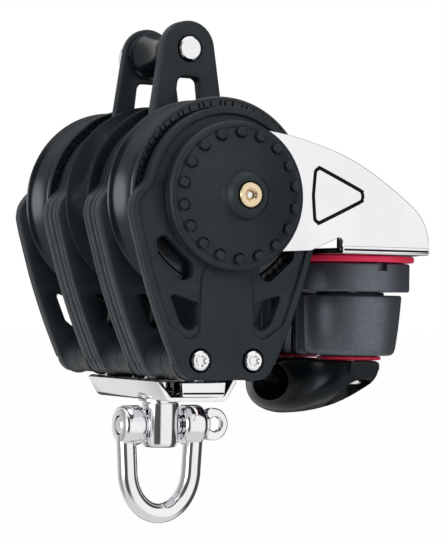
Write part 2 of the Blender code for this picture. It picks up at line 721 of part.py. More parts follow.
def build_cams():
    for name, side in (("front_cam", 1.0), ("rear_cam", -1.0)):
        centre = (CAM_X, -side * CAM_Y)
        pocket = 7.3
        floor = CAM_TOP - 6.2
        bore = [(pocket, CAM_TOP), (pocket, floor), (CAM_BORE, floor), (CAM_BORE, CAM_BOTTOM)]
        vertices, faces = slab(cam_outline(side), CAM_BOTTOM, CAM_TOP, (), [(centre, bore)], axis="Z")
        tapered = []
        for x, y, z in vertices:
            out = x - CAM_X
            if out > CAM_BORE + 3.0 and side * (y - centre[1]) < 8.0 and z < CAM_TOP - 1.0:
                x = CAM_X + out * 0.86
            tapered.append((x, y, z))
        make(name, tapered, faces, "cam_grey", pivot=(*centre, CAM_TOP))


def build_cleat():
    posts = [(CAM_X, -CAM_Y), (CAM_X, CAM_Y)]
    nut_low = SHELF_TOP + NUT_PAD_HEIGHT + RUN_GAP
    plate_holes = [(post, [(CLEAT_BORE, PLATE_TOP), (CLEAT_BORE, PLATE_BOTTOM)]) for post in posts]
    plate = slab(stadium(CAM_X, CAM_Y, PLATE_RADIUS, 14), PLATE_BOTTOM, PLATE_TOP, (), plate_holes, axis="Z")
    make("cleat_pad", *plate, "red")
    base_holes = [(post, [(CLEAT_BORE, BASE_TOP), (CLEAT_BORE, BASE_BOTTOM)]) for post in posts]
    base = slab(stadium(CAM_X, CAM_Y, BASE_RADIUS, 14), BASE_BOTTOM, BASE_TOP, (), base_holes, axis="Z")
    make("cleat_base", *base, "cam_grey")
    for name, post in zip(("front", "rear"), posts):
        bush_top = BASE_BOTTOM - RUN_GAP
        bush = [(4.6, bush_top), (4.6, CAM_BOTTOM), (CLEAT_BORE, CAM_BOTTOM), (CLEAT_BORE, bush_top)]
        make(f"{name}_cam_bearing", *turned(bush, 18, axis="Z", centre=post), "acetal")
        coil = helix(post, 6.1, CAM_TOP - 0.8, CAM_TOP - 5.4, 2.5, 36, "Z")
        make(f"{name}_cam_spring", *tube(coil, 0.45, 5), "stainless")
        washer_top = CAM_BOTTOM - RUN_GAP
        washer = [(9.6, washer_top), (9.6, washer_top - 1.1), (CLEAT_BORE, washer_top - 1.1),
                  (CLEAT_BORE, washer_top)]
        make(f"{name}_cam_washer", *turned(washer, 28, axis="Z", centre=post), "red")
        head = SCREW_SEAT - RUN_GAP
        screw = [(0.0, -8.4), (CLEAT_SCREW_RADIUS, -8.4), (CLEAT_SCREW_RADIUS, head), (4.2, head),
                 (4.2, head - 2.2), (3.6, head - 2.8), (1.6, head - 2.8), (1.6, head - 1.2), (0.0, head - 1.2)]
        make(f"{name}_cleat_screw", *turned(screw, 20, axis="Z", centre=post), "stainless")
        nut = circle(post, 4.7, 6)
        bore = circle(post, CLEAT_BORE, 12)
        make(f"{name}_cleat_nut", *slab(nut, nut_low, nut_low + 3.6, [bore], axis="Z"), "stainless")


def fairlead_section(y):
    """Nearest x, farthest x and depth of the fairlead at one place across the cleat."""
    share = min(1.0, abs(y) / FAIRLEAD_HALF)
    lobe = math.sqrt(1.0 - share ** 3.0)
    near = FAIRLEAD_KEEL_X - FAIRLEAD_NEAR * max(lobe, 0.30)
    far = FAIRLEAD_KEEL_X + FAIRLEAD_FAR * max(lobe, 0.42)
    swell = math.sqrt(1.0 - share ** 2.0)
    depth = FAIRLEAD_END_DEPTH + (FAIRLEAD_DEPTH - FAIRLEAD_END_DEPTH) * swell
    return near, far, depth


def build_fairlead():
    """A boat-shaped bar under the cams, with an eye for the rope and two sunk screw seats."""
    stations = 20
    rise = 6
    lip = 2.0
    vertices = []
    faces = []
    for station in range(stations + 1):
        y = -FAIRLEAD_HALF * math.cos(math.pi * station / stations)
        near, far, depth = fairlead_section(y)
        fillet = min(3.4, depth * 0.7)
        corners = [(near, FAIRLEAD_TOP), (near, FAIRLEAD_TOP - depth + fillet)]
        corners += arc((near + fillet, FAIRLEAD_TOP - depth + fillet), fillet, 205.0, 260.0, 2)
        for step in range(rise + 1):
            turn = math.radians(90.0 * step / rise)
            corners.append((near + fillet + (far - near - fillet) * math.sin(turn),
                            FAIRLEAD_TOP - lip - (depth - lip) * math.cos(turn)))
        corners += [(far, FAIRLEAD_TOP), ((far + near) / 2.0, FAIRLEAD_TOP)]
        vertices.extend((x, y, z) for x, z in corners)
    loop_size = len(vertices) // (stations + 1)
    for station in range(stations):
        for index in range(loop_size):
            after = (index + 1) % loop_size
            base = station * loop_size
            faces.append((base + index, base + after, base + loop_size + after, base + loop_size + index))
    faces.append(tuple(range(loop_size)))
    faces.append(tuple(range(stations * loop_size, (stations + 1) * loop_size)))
    fairlead = make("fairlead", vertices, faces, "glossy_black")
    eye = turned([(0.0, 30.0), (8.4, 30.0), (8.0, 37.4), (FAIRLEAD_EYE_RADIUS + 0.3, 41.0),
                  (FAIRLEAD_EYE_RADIUS, 46.0), (FAIRLEAD_EYE_RADIUS, 58.0), (8.0, 66.0), (0.0, 66.0)], 24,
                 axis="X", centre=(0.0, FAIRLEAD_EYE_Z))
    combine(fairlead, helper("fairlead_eye", *eye), "DIFFERENCE")
    for name, y in (("front", -CAM_Y), ("rear", CAM_Y)):
        seat = turned([(0.0, -70.0), (5.0, -70.0), (5.0, SCREW_SEAT), (CLEAT_BORE, SCREW_SEAT),
                       (CLEAT_BORE, -44.0), (0.0, -44.0)], 20, axis="Z", centre=(CAM_X, y))
        combine(fairlead, helper(f"{name}_fairlead_seat", *seat), "DIFFERENCE")


clear_scene()
BLOCK = bpy.data.objects.new("block_origin", None)
BLOCK.location = (0.0, 0.0, AXLE_HEIGHT * MM)
bpy.context.collection.objects.link(BLOCK)

build_cheeks()
build_sheaves()
build_bearings()
build_ratchet()
build_axle()
build_cover()
build_becket()
build_bolts()
build_hanger()
build_swivel()
build_shackle()
build_arm()
build_cams()
build_cleat()
build_fairlead()
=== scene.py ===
"""Looks of the three-sheave rope block: detailed pieces, materials, studio and camera.

Lengths in the helpers are millimetres measured from the middle of the main axle, which the
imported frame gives; they are turned into metres in the row frame when a mesh is made.
"""
import json
import math

import bmesh
import bpy
from mathutils import Matrix, Vector
from mathutils.geometry import tessellate_polygon


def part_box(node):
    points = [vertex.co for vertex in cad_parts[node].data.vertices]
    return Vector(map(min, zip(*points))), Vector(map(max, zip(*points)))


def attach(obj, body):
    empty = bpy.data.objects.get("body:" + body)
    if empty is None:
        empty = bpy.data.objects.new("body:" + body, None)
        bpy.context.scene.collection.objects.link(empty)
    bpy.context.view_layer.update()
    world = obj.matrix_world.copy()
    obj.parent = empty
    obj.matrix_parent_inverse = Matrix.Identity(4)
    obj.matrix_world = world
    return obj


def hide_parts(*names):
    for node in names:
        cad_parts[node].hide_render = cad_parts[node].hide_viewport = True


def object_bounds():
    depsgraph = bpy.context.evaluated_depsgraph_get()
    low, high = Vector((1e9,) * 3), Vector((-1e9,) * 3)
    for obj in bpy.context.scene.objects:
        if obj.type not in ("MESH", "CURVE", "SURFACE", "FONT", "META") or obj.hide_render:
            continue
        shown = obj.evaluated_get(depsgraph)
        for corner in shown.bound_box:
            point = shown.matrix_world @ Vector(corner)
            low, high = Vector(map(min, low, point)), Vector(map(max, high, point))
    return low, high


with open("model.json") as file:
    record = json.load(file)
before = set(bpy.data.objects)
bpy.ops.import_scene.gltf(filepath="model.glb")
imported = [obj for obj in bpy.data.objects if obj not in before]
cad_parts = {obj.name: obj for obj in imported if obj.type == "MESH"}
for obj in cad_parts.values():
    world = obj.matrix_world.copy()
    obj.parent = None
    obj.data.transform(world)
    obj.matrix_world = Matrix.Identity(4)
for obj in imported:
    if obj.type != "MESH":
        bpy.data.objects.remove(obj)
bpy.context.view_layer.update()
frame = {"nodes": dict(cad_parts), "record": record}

MM = 0.001


def node_box(name):
    """A CAD node's lowest and highest corners in millimetres from the axle's middle."""
    low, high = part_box(name)
    return (low - ORIGIN) / MM, (high - ORIGIN) / MM


_sheave_low, _sheave_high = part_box("middle_sheave")
ORIGIN = (_sheave_low + _sheave_high) / 2.0
BODY_OF = {node: body for body, nodes in frame["record"]["behaviour"]["bodies"].items() for node in nodes}
SLOT_OF = {part["node"]: part["material_slot"] for part in frame["record"]["subparts"]}

SHEAVE_RADIUS = node_box("middle_sheave")[1].z
SHEAVE_HALF = node_box("middle_sheave")[1].y
PITCH = -(node_box("front_sheave")[0].y + node_box("front_sheave")[1].y) / 2.0
GAP = 0.3


# ------------------------ node graph helpers
def shader_of(made):
    return made.node_tree.nodes["Principled BSDF"]


def new_material(name, colour, roughness, metallic=0.0):
    made = bpy.data.materials.new(name)
    made.use_nodes = True
    shader = shader_of(made)
    shader.inputs["Base Color"].default_value = (*colour, 1.0)
    shader.inputs["Roughness"].default_value = roughness
    shader.inputs["Metallic"].default_value = metallic
    return made


def noise_of(made, scale, detail=3.0, stretch=(1.0, 1.0, 1.0), roughness=0.55):
    """A noise texture in object space, in features per metre."""
    tree = made.node_tree
    place = tree.nodes.new("ShaderNodeTexCoord")
    spread = tree.nodes.new("ShaderNodeMapping")
    spread.inputs["Scale"].default_value = stretch
    noise = tree.nodes.new("ShaderNodeTexNoise")
    noise.inputs["Scale"].default_value = scale
    noise.inputs["Detail"].default_value = detail
    noise.inputs["Roughness"].default_value = roughness
    tree.links.new(place.outputs["Object"], spread.inputs["Vector"])
    tree.links.new(spread.outputs["Vector"], noise.inputs["Vector"])
    return noise.outputs["Fac"]


def mapped(made, value, low, high, from_low=0.3, from_high=0.7):
    """A value remapped to a new range."""
    step = made.node_tree.nodes.new("ShaderNodeMapRange")
    step.inputs["From Min"].default_value = from_low
    step.inputs["From Max"].default_value = from_high
    step.inputs["To Min"].default_value = low
    step.inputs["To Max"].default_value = high
    made.node_tree.links.new(value, step.inputs["Value"])
    return step.outputs["Result"]


def tinted(made, value, dark, light):
    """A colour that runs from dark to light with a value."""
    ramp = made.node_tree.nodes.new("ShaderNodeValToRGB")
    ramp.color_ramp.elements[0].color = (*dark, 1.0)
    ramp.color_ramp.elements[1].color = (*light, 1.0)
    ramp.color_ramp.elements[0].position = 0.35
    ramp.color_ramp.elements[1].position = 0.68
    made.node_tree.links.new(value, ramp.inputs["Fac"])
    return ramp.outputs["Color"]


def bumped(made, value, strength, distance):
    """Let a value raise the surface by up to a distance in metres."""
    step = made.node_tree.nodes.new("ShaderNodeBump")
    step.inputs["Strength"].default_value = strength
    step.inputs["Distance"].default_value = distance
    made.node_tree.links.new(value, step.inputs["Height"])
    made.node_tree.links.new(step.outputs["Normal"], shader_of(made).inputs["Normal"])


def feed(made, value, socket):
    made.node_tree.links.new(value, shader_of(made).inputs[socket])


# ------------------------ materials
def moulded(name, dark, light, rough_low, rough_high, grain, bump_strength, specular=0.5):
    """Moulded plastic: a fine grain, slow colour drift and uneven gloss."""
    made = new_material(name, light, rough_low)
    shader_of(made).inputs["Specular IOR Level"].default_value = specular
    shader_of(made).inputs["Specular Tint"].default_value = (0.88, 0.94, 1.0, 1.0)
    feed(made, tinted(made, noise_of(made, 90.0), dark, light), "Base Color")
    feed(made, mapped(made, noise_of(made, 260.0, 4.0), rough_low, rough_high), "Roughness")
    bumped(made, noise_of(made, grain, 2.0), bump_strength, 0.00005)
    return made


def polished_steel(name, rough_low, rough_high, tint, stretch):
    """Polished stainless: faint polishing lines and handling marks in the gloss."""
    made = new_material(name, tint, rough_low, 1.0)
    lines = noise_of(made, 900.0, 4.0, stretch)
    feed(made, mapped(made, lines, rough_low, rough_high), "Roughness")
    dull = tuple(channel * 0.94 for channel in tint)
    feed(made, tinted(made, noise_of(made, 60.0), dull, tint), "Base Color")
    bumped(made, lines, 0.03, 0.00002)
    return made


def anodised(name):
    """Grey hard-anodised castings with a mottled satin skin."""
    made = new_material(name, (0.15, 0.165, 0.185), 0.34, 0.75)
    patches = noise_of(made, 950.0, 6.0, roughness=0.75)
    feed(made, tinted(made, patches, (0.115, 0.133, 0.156), (0.165, 0.182, 0.208)), "Base Color")
    feed(made, mapped(made, patches, 0.50, 0.43), "Roughness")
    bumped(made, noise_of(made, 3000.0, 3.0), 0.16, 0.00004)
    return made


MATERIALS = {
    "nylon": moulded("black_nylon", (0.0085, 0.0125, 0.0150), (0.0130, 0.0180, 0.0210),
                     0.38, 0.52, 5200.0, 0.30, 0.36),
    "matte_nylon": moulded("matte_nylon", (0.0030, 0.0058, 0.0066), (0.0052, 0.0085, 0.0098),
                           0.40, 0.50, 3200.0, 0.35, 0.24),
    "glossy_black": moulded("polished_black", (0.0018, 0.0036, 0.0044), (0.0034, 0.0056, 0.0068),
                            0.22, 0.32, 1500.0, 0.06, 0.26),
    "sheave_black": moulded("satin_black", (0.0036, 0.0056, 0.0066), (0.0062, 0.0088, 0.0100),
                            0.15, 0.21, 1500.0, 0.05, 0.50),
    "cleat_grey": anodised("grey_anodised"),
    "red": moulded("red_plastic", (0.94, 0.030, 0.100), (1.0, 0.045, 0.130), 0.30, 0.42, 2500.0, 0.10, 0.3),
    "stainless": polished_steel("polished_stainless", 0.02, 0.07, (0.91, 0.91, 0.93), (1.0, 0.15, 1.0)),
    "brass": polished_steel("pale_brass", 0.20, 0.34, (0.88, 0.70, 0.46), (1.0, 1.0, 1.0)),
    "acetal": moulded("white_acetal", (0.66, 0.65, 0.60), (0.78, 0.77, 0.72), 0.30, 0.42, 2500.0, 0.10),
    # steel_shadow: near-black steel for the thin beads that paint the shade along the sheets' fold lines and
    # round the arm's pressed triangle
    "steel_shadow": polished_steel("steel_painted_crease_shade", 0.25, 0.40, (0.012, 0.012, 0.014), (1.0, 1.0, 1.0)),
}


# ------------------------ outlines
def arc(centre, radius, start, end, steps):
    """Points on a circle from one angle to another, in degrees, both ends included."""
    points = []
    for step in range(steps + 1):
        angle = math.radians(start + (end - start) * step / steps)
        points.append((centre[0] + radius * math.cos(angle), centre[1] + radius * math.sin(angle)))
    return points


def circle(centre, radius, sides):
    return arc(centre, radius, 0.0, 360.0, sides)[:-1]


def flipped(points):
    """The same points on the other side of x = 0, in reverse order."""
    return [(-x, z) for x, z in reversed(points)]


def turned_over(profile):
    """A profile of (radius, height) pairs upside down, in reverse order."""
    return [(radius, -height) for radius, height in reversed(profile)]


def smooth(points, steps, closed=False):
    """A Catmull-Rom curve through a few points."""
    result = []
    count = len(points)
    spans = count if closed else count - 1
    for span in range(spans):
        quad = []
        for offset in (-1, 0, 1, 2):
            index = span + offset
            index = index % count if closed else max(0, min(count - 1, index))
            quad.append(Vector(points[index]))
        for step in range(steps):
            t = step / steps
            point = (quad[1] * 2.0 + (quad[2] - quad[0]) * t
                     + (quad[0] * 2.0 - quad[1] * 5.0 + quad[2] * 4.0 - quad[3]) * t * t
                     + (quad[1] * 3.0 - quad[0] - quad[2] * 3.0 + quad[3]) * t ** 3) * 0.5
            result.append(tuple(point))
    if not closed:
        result.append(tuple(points[-1]))
    return result


def rounded(corners, radii, steps=5):
    """Replace each corner with an arc; radii is one radius or one for each corner."""
    points = []
    count = len(corners)
    for index, corner in enumerate(corners):
        radius = radii[index] if isinstance(radii, (list, tuple)) else radii
        here = Vector(corner)
        back = (Vector(corners[index - 1]) - here).normalized()
        ahead = (Vector(corners[(index + 1) % count]) - here).normalized()
        half = back.angle(ahead) / 2.0
        middle = here + (back + ahead).normalized() * (radius / math.sin(half))
        reach = radius / math.tan(half)
        start = here + back * reach - middle
        turn = (here + ahead * reach - middle).angle_signed(start)
        for step in range(steps + 1):
            angle = turn * step / steps
            points.append((middle.x + start.x * math.cos(angle) - start.y * math.sin(angle),
                           middle.y + start.x * math.sin(angle) + start.y * math.cos(angle)))
    return points


def inset(outline, distance):
    """Move a closed outline inwards along its normals."""
    count = len(outline)
    area = sum(outline[i - 1][0] * outline[i][1] - outline[i][0] * outline[i - 1][1] for i in range(count))
    sign = 1.0 if area > 0.0 else -1.0
    moved = []
    for index in range(count):
        before = Vector(outline[index - 1])
        here = Vector(outline[index])
        after = Vector(outline[(index + 1) % count])
        along = ((here - before).normalized() + (after - here).normalized()).normalized()
        normal = Vector((-along.y, along.x)) * sign
        moved.append(tuple(here + normal * distance))
    return moved


# ------------------------ solids
def place(axis, first, second, height):
    if axis == "X":
        return (height, first, second)
    if axis == "Y":
        return (first, height, second)
    return (first, second, height)


class Shape:
    """Vertices and faces of one closed piece, in millimetres from the axle's middle."""

    def __init__(self):
        self.vertices = []
        self.faces = []

    def loop(self, axis, outline, height):
        start = len(self.vertices)
        self.vertices.extend(place(axis, first, second, height) for first, second in outline)
        return list(range(start, start + len(outline)))

    def bridge(self, one, other):
        count = len(one)
        for index in range(count):
            after = (index + 1) % count
            self.faces.append((one[index], one[after], other[after], other[index]))

    def chain(self, loops):
        """Join each loop to the next one."""
        for one, other in zip(loops, loops[1:]):
            self.bridge(one, other)

    def caps(self, loops):
        """Close both ends of a chain of loops."""
        self.faces.append(tuple(loops[0]))
        self.faces.append(tuple(loops[-1]))

    def fan(self, axis, loops):
        """Fill between an outer loop and the loops inside it."""
        first, second = {"X": (1, 2), "Y": (0, 2), "Z": (0, 1)}[axis]
        flat = []
        for loop in loops:
            corners = [self.vertices[index] for index in loop]
            flat.append([Vector((corner[first], corner[second], 0.0)) for corner in corners])
        order = [index for loop in loops for index in loop]
        for triangle in tessellate_polygon(flat):
            self.faces.append(tuple(order[corner] for corner in triangle))

    def slab(self, axis, outline, low, high, holes=(), edge=0.0, steps=2):
        """An extruded outline with holes, whose rims are rounded by the edge radius."""
        tops = []
        bottoms = []
        for index, border in enumerate([outline] + list(holes)):
            grow = 1.0 if index == 0 else -1.0
            rings = []
            if edge > 0.0:
                for step in range(steps + 1):
                    turn = math.pi / 2.0 * step / steps
                    offset = edge * (1.0 - math.sin(turn)) * grow
                    rings.append((offset, high - edge * (1.0 - math.cos(turn))))
                rings += [(offset, low + high - height) for offset, height in reversed(rings)]
            else:
                rings = [(0.0, high), (0.0, low)]
            loops = [self.loop(axis, inset(border, offset) if offset else border, height)
                     for offset, height in rings]
            self.chain(loops)
            tops.append(loops[0])
            bottoms.append(loops[-1])
        self.fan(axis, tops)
        self.fan(axis, bottoms)
        return self

    def turned(self, axis, profile, sides=64, centre=(0.0, 0.0), rim=None):
        """A profile of (radius, height) pairs turned about an axis; open at radius 0 or a closed loop."""
        solid = profile[0][0] == 0.0
        loops = []
        for radius, height in profile:
            if radius == 0.0:
                self.vertices.append(place(axis, centre[0], centre[1], height))
                loops.append([len(self.vertices) - 1] * sides)
                continue
            ring = []
            for side in range(sides):
                angle = 2.0 * math.pi * side / sides
                reach = radius * (rim(angle, radius) if rim else 1.0)
                ring.append((centre[0] + reach * math.cos(angle), centre[1] + reach * math.sin(angle)))
            loops.append(self.loop(axis, ring, height))
        pairs = list(zip(loops, loops[1:]))
        if not solid:
            pairs.append((loops[-1], loops[0]))
        for one, other in pairs:
            for side in range(sides):
                after = (side + 1) % sides
                corners = tuple(dict.fromkeys([one[side], one[after], other[after], other[side]]))
                if len(corners) > 2:
                    self.faces.append(corners)
        return self

    def tube(self, path, radius, sides=16, flat=1.0, closed=False):
        """A bar along a path that keeps one y; flat squeezes it along y."""
        points = [Vector(point) for point in path]
        count = len(points)
        normal = Vector((0.0, 1.0, 0.0))
        loops = []
        for index, point in enumerate(points):
            before = points[index - 1] if closed or index else points[0]
            after = points[(index + 1) % count] if closed or index < count - 1 else points[-1]
            across = (after - before).normalized().cross(normal)
            start = len(self.vertices)
            for side in range(sides):
                angle = 2.0 * math.pi * side / sides
                offset = normal * math.cos(angle) * flat + across * math.sin(angle)
                self.vertices.append(tuple(point + offset * radius))
            loops.append(list(range(start, start + sides)))
        self.chain(loops)
        if closed:
            self.bridge(loops[-1], loops[0])
        else:
            self.caps(loops)
        return self


def finish_mesh(name, shape, crease):
    """A shape as a mesh in metres, with edges sharper than the crease angle left sharp."""
    mesh = bpy.data.meshes.new(name)
    mesh.from_pydata([tuple(Vector(v) * MM + ORIGIN) for v in shape.vertices], [], shape.faces)
    work = bmesh.new()
    work.from_mesh(mesh)
    bmesh.ops.recalc_face_normals(work, faces=work.faces)
    work.to_mesh(mesh)
    work.free()
    mesh.shade_smooth()
    mesh.set_sharp_from_angle(angle=math.radians(crease))
    return mesh


def carve(target, cutter_shape):
    """Cut a shape out of a piece and apply the cut to its mesh."""
    mesh = finish_mesh("cutter", cutter_shape, 50.0)
    cutter = bpy.data.objects.new("cutter", mesh)
    bpy.context.scene.collection.objects.link(cutter)
    step = target.modifiers.new("cut", "BOOLEAN")
    step.operation = "DIFFERENCE"
    step.solver = "EXACT"
    step.object = cutter
    bpy.context.view_layer.update()
    graph = bpy.context.evaluated_depsgraph_get()
    result = bpy.data.meshes.new_from_object(target.evaluated_get(graph))
    target.modifiers.clear()
    target.data = result
    result.shade_smooth()
    result.set_sharp_from_angle(angle=math.radians(38.0))
    bpy.data.objects.remove(cutter, do_unlink=True)


def piece(name, shapes, look, nodes=(), body=None, crease=32.0):
    """One visible piece made of closed shells, in place of the named CAD nodes and riding on their body."""
    whole = Shape()
    for shape in shapes:
        start = len(whole.vertices)
        whole.vertices.extend(shape.vertices)
        whole.faces.extend(tuple(corner + start for corner in face) for face in shape.faces)
    mesh = finish_mesh(name, whole, crease)
    mesh.materials.append(MATERIALS[look])
    made = bpy.data.objects.new(name, mesh)
    bpy.context.scene.collection.objects.link(made)
    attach(made, body or BODY_OF[nodes[0]])
    if nodes:
        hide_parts(*nodes)
    return made


# ------------------------ CAD pieces that stay
def dress_frame():
    """Give every CAD piece the material of its slot."""
    for name, node in frame["nodes"].items():
        node.data.materials.clear()
        node.data.materials.append(MATERIALS[SLOT_OF[name]])


# ------------------------ cheeks
BOLT_X = 8.4
BOLT_Z = -46.3
SPACER_CENTRE = (9.6, -46.6)
SPACER_BORE = 3.7
CHEEK_TOP_RADIUS = 25.4
COVER_BORDER = 2.2
SPINE_FOOT = -36.5
SPINE_HEAD = -17.5
SHOULDER = 1.0
RAISED = 0.9
CHEEK_SIDE = [(30.0, -5.2), (29.0, -9.6), (27.6, -14.5), (25.0, -23.5), (21.1, -34.5), (17.6, -43.0),
              (15.6, -47.4)]


def cheek_outline():
    """A cheek's outline, from the right half, which runs from the top down."""
    top = arc((0.0, 0.0), CHEEK_TOP_RADIUS, 90.0, 14.0, 26)
    neck = smooth([(24.7, 6.1), (25.6, 3.6), (27.6, 1.6), (29.4, -1.2), (30.0, -4.2)], 5)
    side = smooth(CHEEK_SIDE, 4)
    foot = arc((10.0, -46.6), 5.2, -8.0, -90.0, 8)
    half = top[1:] + neck[1:] + side + foot
    return half + flipped(half)


def cheek_windows():
    """A slot and a drop-shaped window on each side of the spine."""
    loops = []
    for side in (-1.0, 1.0):
        slot = [(side * 22.0, -12.4), (side * 19.3, -11.4), (side * 10.6, -19.4), (side * 10.6, -22.6),
                (side * 13.6, -24.2), (side * 21.4, -17.4)]
        drop = [(side * 17.9, -27.4), (side * 8.2, -30.4), (side * 8.2, -35.6), (side * 11.4, -38.4),
                (side * 14.4, -36.0)]
        loops.append(rounded(slot, [1.0, 1.2, 2.0, 1.6, 1.8, 1.2]))
        loops.append(rounded(drop, [0.8, 1.2, 2.2, 2.0, 1.8]))
    return loops


def cheek_pocket():
    """The sunk area inside a cheek's border: all round the cover and down both sides of the spine."""
    border = inset(cheek_outline(), COVER_BORDER)
    sides = [point for point in border if SPINE_FOOT < point[1] < SHOULDER]
    left = sorted((point for point in sides if point[0] < 0.0), key=lambda point: point[1])
    right = sorted((point for point in sides if point[0] > 0.0), key=lambda point: -point[1])
    crown = [point for point in border if point[1] >= SHOULDER]
    crown.sort(key=lambda point: -math.atan2(point[1], point[0]))
    spine = arc((11.6, -37.0), 3.2, -30.0, -180.0, 8) + [(8.3, -30.0), (8.0, -22.0), (5.0, SPINE_HEAD)]
    return left + crown + right + spine + flipped(spine)


def bolt_holes(radius):
    return [circle((side * BOLT_X, BOLT_Z), radius, 24) for side in (-1.0, 1.0)]


PARTNERS = {"front_inner_cheek": "middle_front_cheek", "middle_front_cheek": "front_inner_cheek",
            "rear_inner_cheek": "middle_rear_cheek", "middle_rear_cheek": "rear_inner_cheek"}


def cheek_rim(name, outline, face, toward):
    """The border on an inner cheek's back, which all but meets its partner's border."""
    partner_low, partner_high = node_box(PARTNERS[name])
    partner_face = partner_high.y if toward < 0.0 else partner_low.y
    meeting = (face + partner_face) / 2.0 - toward * 0.14
    low, high = sorted((face - toward * 0.4, meeting))
    return Shape().slab("Y", outline, low, high, [inset(outline, 1.7)], edge=0.3)


def build_cheeks():
    windows = cheek_windows()
    outline = cheek_outline()
    for name in ("front_cheek", "rear_cheek", "front_inner_cheek", "rear_inner_cheek",
                 "middle_front_cheek", "middle_rear_cheek"):
        low, high = node_box(name)
        outward = -1.0 if high.y < 0.0 else 1.0
        sheave = outward * PITCH if "middle" not in name else 0.0
        plate_inner = sheave + SHEAVE_HALF + GAP
        toward = 1.0
        centre_y = (low.y + high.y) / 2.0
        if centre_y < sheave:
            toward = -1.0
            plate_inner = sheave - SHEAVE_HALF - GAP
        plate_outer = low.y if toward < 0.0 else high.y
        outer_cheek = name in ("front_cheek", "rear_cheek")
        face = plate_outer - toward * (RAISED if outer_cheek else 0.0)
        slab_low, slab_high = sorted((plate_inner, face))
        axle = circle((0.0, 0.0), 5.6, 32)
        holes = windows + [axle] + bolt_holes(3.5 if name == "front_cheek" else 2.5)
        shapes = [Shape().slab("Y", outline, slab_low, slab_high, holes, edge=0.4)]
        if name in PARTNERS:
            shapes.append(cheek_rim(name, outline, face, toward))
        if outer_cheek:
            low_y, high_y = sorted((face - toward * 0.5, plate_outer))
            holes = [cheek_pocket()] + bolt_holes(3.4)
            shapes.append(Shape().slab("Y", outline, low_y, high_y, holes, edge=0.45, steps=3))
        for side in (-1.0, 1.0):
            end = sheave + toward * GAP / 2.0
            wall = plate_inner + toward * 0.2
            profile = [(5.0, end), (5.0, end + toward * 4.0), (5.2, plate_inner - toward * 1.4),
                       (5.7, wall), (SPACER_BORE, wall), (SPACER_BORE, end)]
            shapes.append(Shape().turned("Y", profile, 40, (side * SPACER_CENTRE[0], SPACER_CENTRE[1])))
        piece(name + "_moulding", shapes, "nylon", (name,))


# ------------------------ sheaves
GROOVE_DEPTH = 3.9
GROOVE_HALF_WIDTH = 6.9
FACET_COUNT = 8
DASH_COUNT = 72
DASH_RADII = (25.9, 27.3)


def groove_profile():
    """Across the groove from one rim to the other, rounded over both rims."""
    half = SHEAVE_HALF
    rim = SHEAVE_RADIUS
    points = [(rim - 0.9, -half), (rim - 0.3, -half + 0.15), (rim, -half + 0.6), (rim - 0.35, -half + 1.1)]
    for step in range(17):
        share = step / 8.0 - 1.0
        points.append((rim - 0.9 - GROOVE_DEPTH * (1.0 - abs(share) ** 1.7), GROOVE_HALF_WIDTH * share))
    return points + turned_over(points[:4])


def facets(angle, radius):
    """Flats round the ratchet sheave's groove, which fade out towards its rims."""
    sector = 2.0 * math.pi / FACET_COUNT
    off = (angle % sector) - sector / 2.0
    flat = math.cos(sector / 2.0) / math.cos(off)
    weight = max(0.0, min(1.0, (SHEAVE_RADIUS - 0.8 - radius) / 1.6))
    return 1.0 + (flat - 1.0) * weight


def flange_marks(face_y, outward):
    """Short raised dashes round the flange."""
    shapes = []
    low, high = sorted((face_y - outward * 0.5, face_y + outward * 0.22))
    for index in range(DASH_COUNT):
        start = 360.0 * index / DASH_COUNT
        end = start + (3.4 if index % 3 else 1.7)
        outer = arc((0.0, 0.0), DASH_RADII[1], start, end, 2)
        inner = arc((0.0, 0.0), DASH_RADII[0], end, start, 2)
        shapes.append(Shape().slab("Y", outer + inner, low, high))
    return shapes


def build_sheaves():
    half = SHEAVE_HALF
    flange = [(27.5, half - 0.35), (25.7, half - 0.35), (25.5, half), (25.0, half - 0.7), (13.6, half - 0.7),
              (13.2, half), (11.3, half), (11.2, half - 0.1)]
    back = turned_over(flange)
    for name, middle in (("front_sheave", -PITCH), ("middle_sheave", 0.0), ("rear_sheave", PITCH)):
        ratchet = name == "middle_sheave"
        tail = [(11.2, -4.4), (18.5, -4.4), (18.5, -half)] if ratchet else back
        profile = groove_profile() + flange + tail
        moved = [(radius, height + middle) for radius, height in profile]
        shapes = [Shape().turned("Y", moved, 96, rim=facets if ratchet else None)]
        shapes += flange_marks(middle - half, -1.0)
        look = "matte_nylon" if ratchet else "sheave_black"
        piece(name + "_wheel", shapes, look, (name,), crease=22.0 if ratchet else 32.0)


# ------------------------ cover and becket
PEG_COUNT = 18
PEG_CIRCLE = 17.8
BECKET_Z = (node_box("becket_thimble")[0].z + node_box("becket_thimble")[1].z) / 2.0


